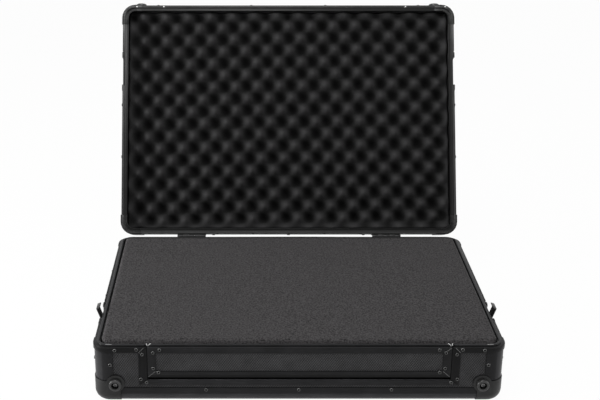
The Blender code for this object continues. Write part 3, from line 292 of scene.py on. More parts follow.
def scored_rim(name, low, high):
    # Lid rim: streaks along the lengths and radial machining marks at the corner pieces, with painted bands
    # of light and shade across its face
    graph = Graph(name, 0.32, 0.3, 0.2)
    place = graph.position(True)
    split = graph.parts(place)
    x = graph.maths("ABSOLUTE", split["X"])
    y = graph.maths("ABSOLUTE", split["Y"])
    across = graph.maths("SUBTRACT", x, HALF_WIDTH - RIM_CORNER)
    deep = graph.maths("SUBTRACT", y, HALF_DEPTH - RIM_CORNER)
    angle = graph.maths("ARCTAN2", deep, across)
    marks = graph.maths("SINE", graph.maths("MULTIPLY", angle, CORNER_MARKS))
    inside = graph.maths(
        "MULTIPLY",
        graph.maths("GREATER_THAN", across, CORNER_OVERRUN),
        graph.maths("GREATER_THAN", deep, CORNER_OVERRUN),
    )
    marks = graph.maths("MULTIPLY", marks, inside)
    along_x = graph.noise(graph.position(True, (STREAK_STRETCH, 1, 1)), 900.0, 2.0)
    along_y = graph.noise(graph.position(True, (1, STREAK_STRETCH, 1)), 900.0, 2.0)
    cloud = graph.noise(place, 35.0)
    level = graph.mixed((along_x, 0.3), (along_y, 0.3), (cloud, 0.4), (marks, 0.3))
    edge = graph.maths(
        "MINIMUM", graph.maths("SUBTRACT", HALF_WIDTH, x), graph.maths("SUBTRACT", HALF_DEPTH, y)
    )
    tone = graph.ramp(graph.maths("DIVIDE", edge, RIM_LIGHT_REACH), *RIM_LIGHT_BANDS)
    near_hinge = graph.spread(split["Y"], HALF_DEPTH - 0.03, HALF_DEPTH - 0.01, 1.0, 0.6)
    metal = graph.scaled(graph.ramp(level, (0.3, low), (0.7, high)), tone)
    metal = graph.scaled(metal, near_hinge)
    graph.colour(graph.shade_in_gaps(metal, 0.004, 0.35))
    graph.roughness(graph.spread(level, 0.35, 0.65, 0.26, 0.42))
    graph.bump(graph.mixed((along_x, 0.5), (along_y, 0.5), (marks, 1.2)), 0.3, 0.0003)
    return graph.material


def plated(name, low, high, rough, metallic, specular=0.5):
    # Plated or bare metal: slow clouding and a fine grain
    graph = Graph(name, rough, metallic, specular)
    place = graph.position()
    fine = graph.noise(place, 800.0, 2.0)
    cloud = graph.noise(place, 50.0)
    metal = graph.ramp(graph.mixed((cloud, 0.7), (fine, 0.3)), (0.3, low), (0.7, high))
    graph.colour(graph.shade_in_gaps(metal, 0.003, 0.4))
    graph.roughness(graph.spread(cloud, 0.3, 0.7, rough - 0.06, rough + 0.08))
    graph.bump(fine, 0.12, 0.0001)
    return graph.material


def rubber(name):
    graph = Graph(name, 0.35, 0.0, 0.5)
    place = graph.position()
    fine = graph.noise(place, 1300.0, 2.0)
    cloud = graph.noise(place, 90.0)
    # Painted shade in gaps, such as the feet's recesses
    graph.colour(graph.shade_in_gaps(graph.ramp(cloud, (0.3, 0.010), (0.7, 0.024)), 0.007, 0.1))
    graph.roughness(graph.spread(cloud, 0.3, 0.7, 0.28, 0.42))
    graph.bump(fine, 0.25, 0.0002)
    return graph.material


FOAM_DARK = (0.0035, 0.0033, 0.0034)
FOAM_LIGHT = (0.0585, 0.0555, 0.057)


def flat_foam():
    # Closed-cell sheet: fine speckle on slow, faint mottling, with a painted shadow of the rear rim along
    # the rear edge
    graph = Graph("flat_foam", 0.95, 0.0, 0.12)
    place = graph.position()
    cells = graph.node("ShaderNodeTexVoronoi")
    cells.inputs["Scale"].default_value = 430.0
    graph.link(place, cells.inputs["Vector"])
    pores = cells.outputs["Distance"]
    speckle = graph.noise(place, 330.0, 1.0, 0.5)
    mottle = graph.noise(place, 60.0, 3.0, 0.6)
    level = graph.mixed((pores, 0.3), (speckle, 0.7), (mottle, 0.08))
    foam = graph.ramp(level, (0.32, FOAM_DARK), (0.64, FOAM_LIGHT))
    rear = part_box("foam_block")[1].y
    # Painted shadow of the rear rim on the foam's rear edge
    shade = graph.spread(graph.parts(place)["Y"], rear - 0.014, rear - 0.009, 1.0, 0.12)
    graph.colour(graph.scaled(foam, shade))
    graph.bump(graph.mixed((pores, 0.6), (speckle, 0.6)), 0.6, 0.0007)
    graph.shader.inputs["Sheen Weight"].default_value = 0.04
    return graph.material


# Painted shade: from the troughs' dark tone to that of the peaks
EGG_SHADE_TONES = (
    (0.14, 0.0012), (0.46, 0.0085),
    (0.73, (0.0225, 0.0222, 0.0227)), (1.0, (0.039, 0.0385, 0.0392)),
)


def egg_foam(trough, peak):
    # Open-cell foam with painted shade: darker down in the troughs, by height
    graph = Graph("egg_foam", 0.97, 0.0, 0.08)
    place = graph.position(True)
    height = graph.spread(graph.parts(place)["Z"], trough, peak, 0.0, 1.0)
    speckle = graph.noise(place, 420.0, 3.0, 0.65)
    mottle = graph.noise(place, 30.0, 4.0)
    level = graph.mixed((height, 0.72), (speckle, 0.24), (mottle, 0.12))
    graph.colour(graph.ramp(level, *EGG_SHADE_TONES))
    graph.bump(speckle, 0.5, 0.0006)
    graph.shader.inputs["Sheen Weight"].default_value = 0.03
    return graph.material


# Making pieces
def mesh_piece(name, bm, material, body, smooth=True):
    bmesh.ops.recalc_face_normals(bm, faces=bm.faces)
    mesh = bpy.data.meshes.new(name)
    bm.to_mesh(mesh)
    bm.free()
    for face in mesh.polygons:
        face.use_smooth = smooth
    ob = bpy.data.objects.new(name, mesh)
    bpy.context.scene.collection.objects.link(ob)
    ob.data.materials.append(material)
    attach(ob, body)
    return ob


def turned(bm, profile, steps, place):
    # A profile of (radius, height) turned about local Z and put in place
    rings = []
    for radius, height in profile:
        ring = []
        for i in range(steps if radius else 1):
            angle = 2 * math.pi * i / steps
            point = Vector((radius * math.cos(angle), radius * math.sin(angle), height))
            ring.append(bm.verts.new(place @ point))
        rings.append(ring)
    for upper, lower in zip(rings, rings[1:]):
        for i in range(steps):
            around = (
                upper[i % len(upper)],
                lower[i % len(lower)],
                lower[(i + 1) % len(lower)],
                upper[(i + 1) % len(upper)],
            )
            corners = list(dict.fromkeys(around))
            if len(corners) > 2:
                bm.faces.new(corners)


def lofted(bm, outlines):
    # Joins outlines of equal length into one closed strip
    rings = [[bm.verts.new(point) for point in outline] for outline in outlines]
    for near, far in zip(rings, rings[1:]):
        for i in range(len(near)):
            j = (i + 1) % len(near)
            bm.faces.new((near[i], near[j], far[j], far[i]))
    bm.faces.new(rings[0])
    bm.faces.new(rings[-1])


def facing(place, outward, spin=0.0):
    turn = Vector(outward).to_track_quat("Z", "Y").to_matrix().to_4x4()
    return Matrix.Translation(place) @ turn @ Matrix.Rotation(spin, 4, "Z")


def mirrored(places):
    # Pairs of (x, y, z) and their mirror images, left side first
    return [(sign * x, y, z) for sign in (-1, 1) for x, y, z in places]


SHARP_ANGLE = math.radians(32)
SOFT_EDGE = 0.00025
WELD_DISTANCE = 0.00001


def smooth_group():
    # Shades curved faces smooth and keeps real edges sharp
    group = bpy.data.node_groups.new("smooth_by_angle", "GeometryNodeTree")
    group.interface.new_socket("Geometry", in_out="INPUT", socket_type="NodeSocketGeometry")
    group.interface.new_socket("Geometry", in_out="OUTPUT", socket_type="NodeSocketGeometry")
    start = group.nodes.new("NodeGroupInput")
    end = group.nodes.new("NodeGroupOutput")
    plain = group.nodes.new("GeometryNodeRemoveAttribute")
    plain.inputs["Name"].default_value = "custom_normal"
    faces = group.nodes.new("GeometryNodeSetShadeSmooth")
    edges = group.nodes.new("GeometryNodeSetShadeSmooth")
    edges.domain = "EDGE"
    edges.inputs["Shade Smooth"].default_value = False
    angle = group.nodes.new("GeometryNodeInputMeshEdgeAngle")
    sharp = group.nodes.new("FunctionNodeCompare")
    sharp.operation = "GREATER_THAN"
    sharp.inputs["B"].default_value = SHARP_ANGLE
    links = group.links
    links.new(start.outputs[0], plain.inputs["Geometry"])
    links.new(plain.outputs[0], faces.inputs["Geometry"])
    links.new(faces.outputs[0], edges.inputs["Geometry"])
    links.new(angle.outputs["Unsigned Angle"], sharp.inputs["A"])
    links.new(sharp.outputs["Result"], edges.inputs["Selection"])
    links.new(edges.outputs[0], end.inputs[0])
    return group


def add_soft_edges(ob, group):
    # Welds the node, rounds its edges a little and shades its curves smooth
    weld = ob.modifiers.new("weld", "WELD")
    weld.merge_threshold = WELD_DISTANCE
    bevel = ob.modifiers.new("edges", "BEVEL")
    bevel.width = SOFT_EDGE
    bevel.segments = 2
    bevel.limit_method = "ANGLE"
    bevel.angle_limit = SHARP_ANGLE
    smooth = ob.modifiers.new("smooth", "NODES")
    smooth.node_group = group


# Finishes on the imported nodes
# Bands of painted light and shade across a profile: (axis, from, to, brightness before, brightness after)
# Painted light on the tongue above the parting line, with the shoulder and front below it darker
RIM_TONGUE_LIGHT = ("Z", PARTING + 0.0002, PARTING + 0.0012, 0.45, 1.3)
# Painted shade on the panel frame's lowest part
PANEL_LOWER_SHADE = ("Z", 0.0515, 0.0535, 0.35, 1.0)
# Painted light on the sill's recessed parts behind its front face
SILL_RECESS_LIGHT = ("Y", 0.0012 - HALF_DEPTH, 0.0022 - HALF_DEPTH, 1.3, 14.0)
# Painted light from the floor on the underside of the bottom profile
UNDERSIDE_FLOOR_LIGHT = ("Z", BOTTOM + 0.0158, BOTTOM + 0.0185, 2.8, 1.0)


def put_on(material, *names):
    for name in names:
        mesh = nodes[name].data
        mesh.materials.clear()
        mesh.materials.append(material)


def dress_boards():
    put_on(laminate("laminate_front", "XZ"), "base_front_board", "base_back_board", "panel_board")
    put_on(laminate("laminate_side", "YZ"), "base_left_board", "base_right_board")
    put_on(laminate("laminate_flat", "XY"), "bottom_board")
    put_on(laminate("lid_laminate_front", "XZ", True), "lid_front_board", "lid_back_board")
    put_on(laminate("lid_laminate_side", "YZ", True), "lid_left_board", "lid_right_board")
    put_on(laminate("lid_laminate_flat", "XY", True), "lid_top_board")


def dress_profiles():
    put_on(anodised("anodised_rim", "X", band=RIM_TONGUE_LIGHT), "base_rim")
    put_on(anodised("anodised_panel", "X", band=PANEL_LOWER_SHADE), "panel_frame")
    put_on(anodised("anodised_sill", "X", band=SILL_RECESS_LIGHT, gap_shade_depth=0.8), "sill")
    bottom = anodised("anodised_bottom", "X", False, 0.007, 0.018, band=UNDERSIDE_FLOOR_LIGHT, corner_light=2.0)
    put_on(bottom, "bottom_edge_profile")
    put_on(anodised("anodised_lid_edge", "X", True), "lid_edge_profile")
    put_on(anodised("anodised_upright", "Z", False, 0.002, 0.007, gap_shade_depth=0.1), "left_jamb", "right_jamb")


def dress_fittings():
    rim = scored_rim("anodised_lid_rim", 0.026, 0.060)
    steel = plated("black_plated", 0.009, 0.019, 0.4, 0.2, 0.3)
    latch = plated("latch_plated", 0.03, 0.07, 0.28, 0.9)
    skin = rubber("black_rubber_skin")
    for name in nodes:
        if "lid_rim" in name or "lid_corner" in name:
            put_on(rim, name)
        elif "cap" in name or "hinge" in name or "dish" in name or name in ("handle_plate", "handle_bail"):
            put_on(steel, name)
        elif "_latch_" in name:
            put_on(latch, name)
        elif "foot" in name or name == "handle_grip":
            put_on(skin, name)


def soften_nodes():
    group = smooth_group()
    for name, ob in nodes.items():
        if "foam" not in name:
            add_soft_edges(ob, group)


# Foam linings
def ripple(x, y, scale, seed):
    # Smooth noise from -1 to 1 over the sheet
    return noise.noise(Vector((x * scale, y * scale, seed)))


def drawn_down(bm, height):
    # Walls and a back: the sheet's copy, put at one height
    copied = bmesh.ops.extrude_face_region(bm, geom=list(bm.faces))["geom"]
    for item in copied:
        if isinstance(item, bmesh.types.BMVert):
            item.co.z = height


def foam_piece(name, bm, material, body, replaced):
    piece = mesh_piece(name, bm, material, body)
    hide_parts(replaced)


FOAM_CORNER = 0.0137
FOAM_EDGE = 0.0024
FOAM_COLUMNS = 180
FOAM_ROWS = 120
FOAM_ROOM = 0.0006
FOAM_SWELL = 0.0007
FOAM_SWELL_SCALE = 7
FOAM_ROUGHNESS = 0.00012
FOAM_ROUGHNESS_SCALE = 60


def foam_block_piece():
    low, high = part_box("foam_block")
    size = high - low
    middle = (low + high) / 2
    bm = bmesh.new()
    bmesh.ops.create_grid(bm, x_segments=FOAM_COLUMNS, y_segments=FOAM_ROWS, size=1)
    for vert in bm.verts:
        x = vert.co.x * size.x / 2
        y = vert.co.y * size.y / 2
        # Corners are drawn in to the foam's corner radius
        over_x = abs(x) - (size.x / 2 - FOAM_CORNER)
        over_y = abs(y) - (size.y / 2 - FOAM_CORNER)
        if over_x > 0 and over_y > 0:
            shrink = max(over_x, over_y) / math.hypot(over_x, over_y)
            x = math.copysign(size.x / 2 - FOAM_CORNER + over_x * shrink, x)
            y = math.copysign(size.y / 2 - FOAM_CORNER + over_y * shrink, y)
            rim = FOAM_CORNER - max(over_x, over_y)
        else:
            rim = min(size.x / 2 - abs(x), size.y / 2 - abs(y))
        inner = max(0.0, FOAM_EDGE - rim)
        drop = FOAM_EDGE - math.sqrt(max(0.0, FOAM_EDGE ** 2 - inner ** 2))
        swell = ripple(x, y, FOAM_SWELL_SCALE, 0.3) * FOAM_SWELL
        fine = ripple(x, y, FOAM_ROUGHNESS_SCALE, 4.1) * FOAM_ROUGHNESS
        vert.co = (middle.x + x, middle.y + y, high.z - FOAM_ROOM - drop + swell + fine)
    drawn_down(bm, low.z)
    foam_piece("foam_block_soft", bm, flat_foam(), "base", "foam_block")


EGG_PITCH_X = 0.0473
EGG_PITCH_Y = 0.0511
EGG_SAMPLES = 14
EGG_BACK = LID_TOP - 0.0123
EGG_TROUGH = EGG_BACK - 0.0095
EGG_PEAK = LID_PLANE + 0.0092
EGG_SIDE_ROOM = 0.0032
EGG_BORDER = 0.018
EGG_BORDER_RISE = 0.55
EGG_SHIFT_X = 0.0105
EGG_SHIFT_Y = 0.0039
EGG_LEAN_X = 0.0436
EGG_LEAN_Y = 0.0203
EGG_POINT = 1.15
EGG_WARP = 0.0022
EGG_WARP_SCALE = 6
EGG_ROUGHNESS = 0.0009
EGG_ROUGHNESS_SCALE = 70


def egg_crate_piece():
    # Built flat in the closed lid and turned open with it
    half_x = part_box("egg_crate_foam")[1].x + EGG_SIDE_ROOM
    half_y = half_x - (HALF_WIDTH - HALF_DEPTH)
    columns = round(2 * half_x / EGG_PITCH_X * EGG_SAMPLES)
    rows = round(2 * half_y / EGG_PITCH_Y * EGG_SAMPLES)
    bm = bmesh.new()
    bmesh.ops.create_grid(bm, x_segments=columns, y_segments=rows, size=1)
    wave_x = 2 * math.pi / EGG_PITCH_X
    wave_y = 2 * math.pi / EGG_PITCH_Y
    for vert in bm.verts:
        x = vert.co.x * half_x
        y = vert.co.y * half_y
        warp_x = ripple(x, y, EGG_WARP_SCALE, 1.7) * EGG_WARP
        warp_y = ripple(x, y, EGG_WARP_SCALE, 8.2) * EGG_WARP
        across = wave_x * (x - EGG_SHIFT_X - EGG_LEAN_X * y + warp_x)
        down = wave_y * (y - EGG_SHIFT_Y + EGG_LEAN_Y * x + warp_y)
        rise = ((1 + math.cos(across) * math.cos(down)) / 2) ** EGG_POINT
        # The sheet is pressed up against the rim all round
        border = min(half_x - abs(x), half_y - abs(y))
        pressed = max(0.0, 1 - border / EGG_BORDER) * EGG_BORDER_RISE
        height = EGG_TROUGH + (EGG_PEAK - EGG_TROUGH) * (rise + (1 - rise) * pressed)
        height += ripple(x, y, EGG_ROUGHNESS_SCALE, 2.4) * EGG_ROUGHNESS
        vert.co = (x, y, height)
    drawn_down(bm, EGG_BACK)
    bmesh.ops.transform(bm, matrix=LID_TURN, verts=bm.verts)
    foam_piece("egg_crate_soft", bm, egg_foam(EGG_TROUGH, EGG_PEAK), "lid", "egg_crate_foam")


# Rivets: a profile is (radius, height) pairs from the middle outwards
RIVET_HOLE = 0.0015
RIVET_RISE = 0.0015
RIVET_STEPS = 18
RIVET_PROFILE = (
    (0.0, 0.0001), (0.0012, 0.0001), (RIVET_HOLE, 0.0011), (0.0020, RIVET_RISE), (0.0026, 0.0014),
    (0.0031, 0.0009), (0.0034, 0.0002), (0.0034, -0.0002), (0.0, -0.0002),
)
PIN_END_STEPS = 12
PIN_END_PROFILE = ((0.0, 0.0002), (0.0008, 0.00015), (0.0012, 0.00005), (0.0012, -0.0001), (0.0, -0.0001))
PIN_END_IN = 0.0029
PIN_ENDS = (-0.3203, -0.2635, 0.2483, 0.3325)

# Rows of rivets, by distance from the shell's edges and place along it
RING_ROW = 0.0250
RIM_ROW = 0.0048
POST_COLUMN = 0.0284
POST_DOWN = 0.0328
RIM_BACK = (-0.31, -0.15, -0.075, 0.0, 0.075, 0.15, 0.31)
RIM_SIDE = (-0.205, -0.03, 0.08, 0.205)
LID_RIM_FRONT = (-0.314, -0.2752, -0.0786, 0.0786, 0.2752, 0.314)
RING_FRONT = (-0.1585, 0.0, 0.1585)
RING_BACK = (-0.158, 0.0, 0.158)
RING_SIDE = (-0.12, 0.0, 0.12)
FRONT_RING_DOWN = 0.0806

# Single rivets at the front: (x, distance under the parting line)
JAMB_RIVETS = ((0.2757, 0.0036), (0.2664, 0.0128), (0.2697, 0.0600), (0.2600, 0.0666), (0.3213, POST_DOWN))
SLEEVE_RIVET = (0.3125, 0.0042)
PANEL_RIVETS = ((0.2365, 0.0040), (0.2480, 0.0095), (0.2480, 0.0394), (0.2393, 0.0470))

# Rivets at the corners of the latch dishes and keepers
DISH_HALF = 0.0358
DISH_RIVETS_DOWN = (0.0068, 0.0495)
KEEPER_RIVETS_UP = 0.0193


def rivets(name, places, outward, body, material, turn=None):
    # Hollow rivets: a bright ring round a hole painted near-black as its shade
    bm = bmesh.new()
    reach = math.hypot(RIVET_HOLE, RIVET_RISE)
    for i, place in enumerate(places):
        side = outward[i] if isinstance(outward, list) else outward
        matrix = facing(place, side)
        matrix = turn @ matrix if turn else matrix
        done = len(bm.faces)
        turned(bm, RIVET_PROFILE, RIVET_STEPS, matrix)
        bm.faces.ensure_lookup_table()
        middle = matrix.translation
        for face in bm.faces[done:]:
            if all((vert.co - middle).length < reach for vert in face.verts):
                face.material_index = 1
    piece = mesh_piece(name, bm, material, body)
    piece.data.materials.append(hole_shade_black)


def shell_rivets(name, plane, closed_side, away, post_z, body, material, turn=None):
    # Rows on the back and the two sides of a shell: along the rim, the edge profile and the posts
    places = []
    outward = []
    rim = plane + away * RIM_ROW
    ring = closed_side - away * RING_ROW
    for sign in (-1, 1):
        for row, height in ((RIM_SIDE, rim), (RING_SIDE, ring)):
            for y in row:
                places.append((sign * HALF_WIDTH, y, height))
                outward.append((sign, 0, 0))
        for z in post_z:
            for end in (-1, 1):
                places.append((sign * HALF_WIDTH, end * (HALF_DEPTH - POST_COLUMN), z))
                outward.append((sign, 0, 0))
            places.append((sign * (HALF_WIDTH - POST_COLUMN), HALF_DEPTH, z))
            outward.append((0, 1, 0))
    for row, height in ((RIM_BACK, rim), (RING_BACK, ring)):
        for x in row:
            places.append((x, HALF_DEPTH, height))
            outward.append((0, 1, 0))
    rivets(name, places, outward, body, material, turn)


def base_rivets(material):
    face = -HALF_DEPTH
    places = [(x, face, PARTING - FRONT_RING_DOWN) for x in RING_FRONT]
    places += mirrored([(x, face, PARTING - down) for x, down in JAMB_RIVETS])
    x, down = SLEEVE_RIVET
    places += mirrored([(x, face - SLEEVE_OUT, PARTING - down)])
    rivets("base_front_rivets", places, (0, -1, 0), "base", material)
    shell_rivets("base_side_rivets", PARTING, BOTTOM, -1, (PARTING - POST_DOWN,), "base", material)
    places = mirrored([(x, face, PARTING - down) for x, down in PANEL_RIVETS])
    rivets("panel_rivets", places, (0, -1, 0), "front_panel", material)


def lid_rivets(material):
    shell_rivets("lid_side_rivets", LID_PLANE, LID_TOP, 1, (), "lid", material, LID_TURN)
    places = [(x, -HALF_DEPTH, LID_PLANE + RIM_ROW) for x in LID_RIM_FRONT]
    places += [(x, -HALF_DEPTH, LID_TOP - RING_ROW) for x in RING_FRONT]
    rivets("lid_front_rivets", places, (0, -1, 0), "lid", material, LID_TURN)


def lid_pin_ends(material):
    # Bright rivet ends on the rim's face at the front
    bm = bmesh.new()
    for x in PIN_ENDS:
        seat = facing((x, PIN_END_IN - HALF_DEPTH, LID_PLANE), (0, 0, -1))
        turned(bm, PIN_END_PROFILE, PIN_END_STEPS, LID_TURN @ seat)
    mesh_piece("lid_rim_pin_ends", bm, material, "lid")


def dish_rivets(material):
    # Rivets at the corners of the dishes on both sides
    wall = HALF_WIDTH - BOARD_IN + PLATE_OUT
    middle = LATCH_PLACE - HALF_DEPTH
    ends = (-DISH_HALF, DISH_HALF)
    for side, sign in (("left", -1), ("right", 1)):
        low = [(sign * wall, middle + y, PARTING - down) for y in ends for down in DISH_RIVETS_DOWN]
        rivets(side + "_dish_rivets", low, (sign, 0, 0), "base", material)
        high = [(sign * wall, middle + y, LID_PLANE + KEEPER_RIVETS_UP) for y in ends]
        rivets(side + "_keeper_rivets", high, (sign, 0, 0), "lid", material, LID_TURN)


# Screws
SCREW_STEPS = 20
SCREW_PROFILE = (
    (0.0, 0.0011), (0.0016, 0.0010), (0.0027, 0.0007), (0.0034, 0.0001), (0.0034, -0.0003), (0.0, -0.0003),
)
CROSS_LENGTH = 0.0036
CROSS_WIDTH = 0.0008
CROSS_DEPTH = 0.002
CROSS_HEIGHT = 0.0013
FIRST_SPIN = 0.5
NEXT_SPIN = 1.1
WASHER_STEPS = 24
WASHER_PROFILE = ((0.0, 0.00005), (0.0060, 0.00005), (0.0063, -0.0001), (0.0, -0.0001))
FOOT_SCREW_SCALE = 1.25
HANDLE_SCREW_SCALE = 1.1
HINGE_SCREW_STEP = 0.019
HANDLE_SCREW_X = 0.030
HANDLE_SCREW_Z = 0.016


def screw_shape():
    # A domed head with a cross recess, made once and copied
    bm = bmesh.new()
    turned(bm, SCREW_PROFILE, SCREW_STEPS, Matrix.Identity(4))
    bmesh.ops.recalc_face_normals(bm, faces=bm.faces)
    mesh = bpy.data.meshes.new("screw_head")
    bm.to_mesh(mesh)
    bm.free()
    head = bpy.data.objects.new("screw_head", mesh)
    bpy.context.scene.collection.objects.link(head)
    cutters = []
    for size in ((CROSS_WIDTH, CROSS_LENGTH), (CROSS_LENGTH, CROSS_WIDTH)):
        bm = bmesh.new()
        bmesh.ops.create_cube(bm, size=1)
        bmesh.ops.scale(bm, vec=(*size, CROSS_DEPTH), verts=bm.verts)
        bmesh.ops.translate(bm, vec=(0, 0, CROSS_HEIGHT), verts=bm.verts)
        slot = bpy.data.meshes.new("slot")
        bm.to_mesh(slot)
        bm.free()
        cutter = bpy.data.objects.new("slot", slot)
        bpy.context.scene.collection.objects.link(cutter)
        change = head.modifiers.new("slot", "BOOLEAN")
        change.object = cutter
        change.solver = "EXACT"
        cutters.append(cutter)
    bpy.context.view_layer.update()
    graph = bpy.context.evaluated_depsgraph_get()
    made = bpy.data.meshes.new_from_object(head.evaluated_get(graph))
    for item in [head] + cutters:
        bpy.data.objects.remove(item)
    return made


def screws(name, shape, places, outward, body, material, turn=None, size=1.0):
    bm = bmesh.new()
    for i, place in enumerate(places):
        matrix = facing(place, outward, FIRST_SPIN + NEXT_SPIN * i) @ Matrix.Scale(size, 4)
        copied = shape.copy()
        copied.transform(turn @ matrix if turn else matrix)
        bm.from_mesh(copied)
        bpy.data.meshes.remove(copied)
    mesh_piece(name, bm, material, body, False)


def foot_screws(shape, steel):
    depth = -HALF_DEPTH - CAP_OUT - GAP - FOOT_RECESS
    side = HALF_WIDTH - FOOT_IN
    for body, z, turn in (("base", BOTTOM + BASE_FOOT_UP, None), ("lid", LID_TOP - LID_FOOT_DOWN, LID_TURN)):
        places = mirrored([(side, depth, z)])
        screws(body + "_foot_screws", shape, places, (0, -1, 0), body, steel, turn, FOOT_SCREW_SCALE)
        # Washers painted near-black: painted shade on the floor of each foot's recess
        bm = bmesh.new()
        for place in places:
            seat = facing(place, (0, -1, 0))
            turned(bm, WASHER_PROFILE, WASHER_STEPS, turn @ seat if turn else seat)
        mesh_piece(body + "_foot_washers", bm, hole_shade_black, body)


def hinge_screws(shape, steel):
    face = HALF_DEPTH + GAP + HINGE_LEAF
    step = HINGE_SCREW_STEP
    columns = [sign * HINGE_PLACE + x for sign in (-1, 1) for x in (-step, step)]
    low = [(x, face, PARTING - step) for x in columns]
    high = [(x, face, PARTING + step) for x in columns]
    screws("base_hinge_screws", shape, low, (0, 1, 0), "base", steel)
    screws("lid_hinge_screws", shape, high, (0, 1, 0), "lid", steel, LID_TURN)


def handle_screws(shape, steel):
    face = HALF_DEPTH - BOARD_IN + PLATE_OUT
    heights = (HANDLE_HEIGHT - HANDLE_SCREW_Z, HANDLE_HEIGHT + HANDLE_SCREW_Z)
    places = [(x, face, z) for x in (-HANDLE_SCREW_X, HANDLE_SCREW_X) for z in heights]
    screws("handle_screws", shape, places, (0, 1, 0), "base", steel, size=HANDLE_SCREW_SCALE)


# Bare metal at the profiles' cut ends
FACE = -HALF_DEPTH
TONGUE_FRONT = FACE + TONGUE_IN
TONGUE_BACK = TONGUE_FRONT + TONGUE_WIDTH
CREST = PARTING + TONGUE_UP
MITRE_WIDTH = 0.0006
MITRE_LIFT = 0.00012
BARE_LIFT = 0.00018
# A line's two ends: (x, distance under the parting line)
BASE_MITRES = (((0.2637, 0.0004), (0.2722, 0.0093)), ((0.2585, 0.0630), (0.2612, 0.0655)))
PANEL_MITRES = (((0.2446, 0.0450), (0.2566, 0.0555)),)
PANEL_TOP_MITRE = ((0.2566, 0.0004), (0.2452, 0.0100))
# A bright end's places and widths, from the tongue's back to its foot
V_FOOT = 0.0004
V_ARMS = (
    ("base", (0.2596, 0.2581, 0.2574), (0.0014, 0.0011, 0.0006)),
    ("front_panel", (0.2524, 0.2547, 0.2562), (0.0020, 0.0013, 0.0006)),
)
# The worn edge's two ends, and its outline as (distance behind the tongue's front, height)
WORN_ENDS = (0.3180, 0.3285)
WORN_OUTLINE = ((0.0006, 0.0), (0.0036, 0.0), (0.0020, BARE_LIFT))


def mitre_lines(name, mitres, extra, body, material):
    # Thin lines on the front face where two profiles meet, on both sides, and one-sided extras
    lines = [[(sign * x, down) for x, down in line] for sign in (-1, 1) for line in mitres]
    bm = bmesh.new()
    for line in lines + list(extra):
        start, end = (Vector((x, FACE, PARTING - down)) for x, down in line)
        along = (end - start).normalized()
        side = Vector((along.z, 0, -along.x)) * MITRE_WIDTH / 2
        out = Vector((0, -MITRE_LIFT, 0))
        outline = (side, side + out, out - side, -side)
        lofted(bm, [[place + shift for shift in outline] for place in (start, end)])
    mesh_piece(name, bm, material, body, False)


def bright_ends(material):
    # A bright V over each end of the panel: each arm runs over the tongue's top and down its front
    stations = ((TONGUE_BACK, CREST), (TONGUE_FRONT, CREST), (TONGUE_FRONT, PARTING + V_FOOT))
    for body, path, widths in V_ARMS:
        bm = bmesh.new()
        for sign in (-1, 1):
            outlines = []
            for x, width, (y, z) in zip(path, widths, stations):
                inner = Vector((sign * (x - width / 2), y, z))
                outer = Vector((sign * (x + width / 2), y, z))
                forward = -BARE_LIFT if y == TONGUE_FRONT else 0
                upward = BARE_LIFT if z == CREST else 0
                raised = Vector((0, forward, upward))
                outlines.append((inner, outer, outer + raised, inner + raised))
            lofted(bm, outlines)
        mesh_piece(body + "_bare_ends", bm, material, body, False)


def worn_corners(material):
    # Worn edge along the tongue next to each front corner
    bm = bmesh.new()
    for sign in (-1, 1):
        lofted(bm, [
            [(sign * x, TONGUE_FRONT + behind, CREST + height) for behind, height in WORN_OUTLINE]
            for x in WORN_ENDS
        ])
    mesh_piece("base_worn_corners", bm, material, "base", False)


# Camera, light and floor
WORLD_LIGHT = 0.15
FLOOR_SIZE = 14
FLOOR_DROP = 0.0002
FLOOR_TONE = 0.9
FLOOR_SHARE = 0.97


def camera():
    data = bpy.data.cameras.new("camera")
    data.sensor_width = SENSOR_WIDTH
    data.lens = FOCAL_PIXELS * SENSOR_WIDTH / IMAGE_WIDTH
    data.shift_x = (IMAGE_WIDTH / 2 - CENTRE_PIXEL_X) / IMAGE_WIDTH
    ob = bpy.data.objects.new("camera", data)
    ob.location = CAMERA_PLACE
    ob.rotation_euler = (math.pi / 2 - CAMERA_DOWN, 0, 0)
    bpy.context.scene.collection.objects.link(ob)
    bpy.context.scene.camera = ob


def seen_directly(tree):
    # 1 for rays from the camera, reflections and through glass, 0 for light on surfaces
    path = tree.nodes.new("ShaderNodeLightPath")
    total = path.outputs["Is Camera Ray"]
    for name in ("Is Glossy Ray", "Is Transmission Ray"):
        both = tree.nodes.new("ShaderNodeMath")
        both.operation = "MAXIMUM"
        tree.links.new(total, both.inputs[0])
        tree.links.new(path.outputs[name], both.inputs[1])
        total = both.outputs["Value"]
    return total


def world():
    made = bpy.data.worlds.new("studio")
    made.use_nodes = True
    tree = made.node_tree
    plain = tree.nodes["Background"]
    plain.inputs["Color"].default_value = (1, 1, 1, 1)
    plain.inputs["Strength"].default_value = WORLD_LIGHT
    seen = tree.nodes.new("ShaderNodeBackground")
    seen.inputs["Color"].default_value = (1, 1, 1, 1)
    seen.inputs["Strength"].default_value = 1.0
    mix = tree.nodes.new("ShaderNodeMixShader")
    tree.links.new(seen_directly(tree), mix.inputs["Fac"])
    tree.links.new(plain.outputs["Background"], mix.inputs[1])
    tree.links.new(seen.outputs["Background"], mix.inputs[2])
    tree.links.new(mix.outputs["Shader"], tree.nodes["World Output"].inputs["Surface"])
    bpy.context.scene.world = made


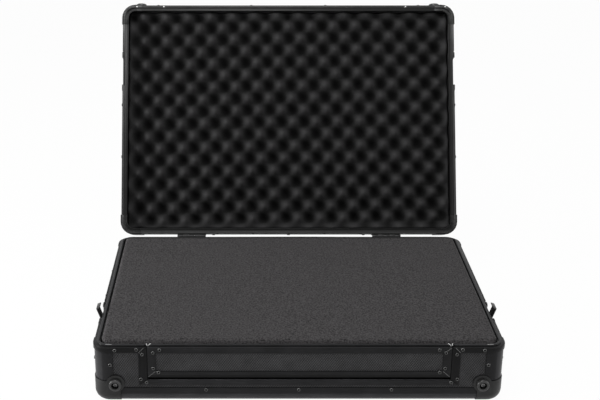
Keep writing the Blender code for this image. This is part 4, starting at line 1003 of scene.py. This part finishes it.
def floor():
    bpy.ops.mesh.primitive_plane_add(size=FLOOR_SIZE, location=(0, 0, FLOOR - FLOOR_DROP))
    ob = bpy.context.object
    ob.name = "floor"
    material = bpy.data.materials.new("floor")
    material.use_nodes = True
    tree = material.node_tree
    shader = tree.nodes["Principled BSDF"]
    shader.inputs["Base Color"].default_value = (FLOOR_TONE, FLOOR_TONE, FLOOR_TONE, 1)
    shader.inputs["Roughness"].default_value = 0.9
    glow = tree.nodes.new("ShaderNodeEmission")
    lift = tree.nodes.new("ShaderNodeMath")
    lift.operation = "MULTIPLY"
    lift.inputs[1].default_value = FLOOR_SHARE
    mix = tree.nodes.new("ShaderNodeMixShader")
    tree.links.new(seen_directly(tree), lift.inputs[0])
    tree.links.new(lift.outputs["Value"], mix.inputs["Fac"])
    tree.links.new(shader.outputs["BSDF"], mix.inputs[1])
    tree.links.new(glow.outputs["Emission"], mix.inputs[2])
    tree.links.new(mix.outputs["Shader"], tree.nodes["Material Output"].inputs["Surface"])
    ob.data.materials.append(material)


def lamp(name, place, target, size, power):
    data = bpy.data.lights.new(name, "AREA")
    data.shape = "RECTANGLE"
    data.size, data.size_y = size
    data.energy = power
    ob = bpy.data.objects.new(name, data)
    ob.location = place
    aim = Vector(target) - Vector(place)
    ob.rotation_euler = aim.to_track_quat("-Z", "Y").to_euler()
    bpy.context.scene.collection.objects.link(ob)


bpy.context.scene.view_settings.view_transform = "Standard"
camera()
world()
floor()
lamp("top_light", (-0.3, -0.9, 2.5), (0, 0.1, 0.1), (1.6, 1.2), 46)
lamp("left_light", (-2.3, -0.4, 0.6), (0, 0, 0.15), (0.9, 1.2), 55)
lamp("right_light", (2.3, -0.45, 0.8), (0, 0, 0.15), (0.9, 1.2), 15)

dress_boards()
dress_profiles()
dress_fittings()
soften_nodes()
foam_block_piece()
egg_crate_piece()

# Near-black for painted shade in rivet holes and on the foot washers
hole_shade_black = plated("hole_shade_black", 0.002, 0.004, 0.7, 0.0, 0.1)
rivet_steel = plated("rivet_black", 0.042, 0.085, 0.2, 0.9)
screw_steel = plated("screw_black", 0.07, 0.16, 0.2, 0.95)
bare_aluminium = plated("bare_aluminium", 0.75, 0.88, 0.35, 0.7)
mitre_edge = plated("mitre_edge", 0.14, 0.22, 0.4, 0.8)
worn_edge = plated("worn_edge", 0.16, 0.3, 0.35, 0.8)

base_rivets(rivet_steel)
lid_rivets(rivet_steel)
lid_pin_ends(bare_aluminium)
dish_rivets(rivet_steel)

cross_head = screw_shape()
foot_screws(cross_head, screw_steel)
hinge_screws(cross_head, rivet_steel)
handle_screws(cross_head, rivet_steel)
bpy.data.meshes.remove(cross_head)

mitre_lines("base_bare_joints", BASE_MITRES, (), "base", mitre_edge)
mitre_lines("panel_bare_joints", PANEL_MITRES, (PANEL_TOP_MITRE,), "front_panel", mitre_edge)
bright_ends(bare_aluminium)
worn_corners(worn_edge)
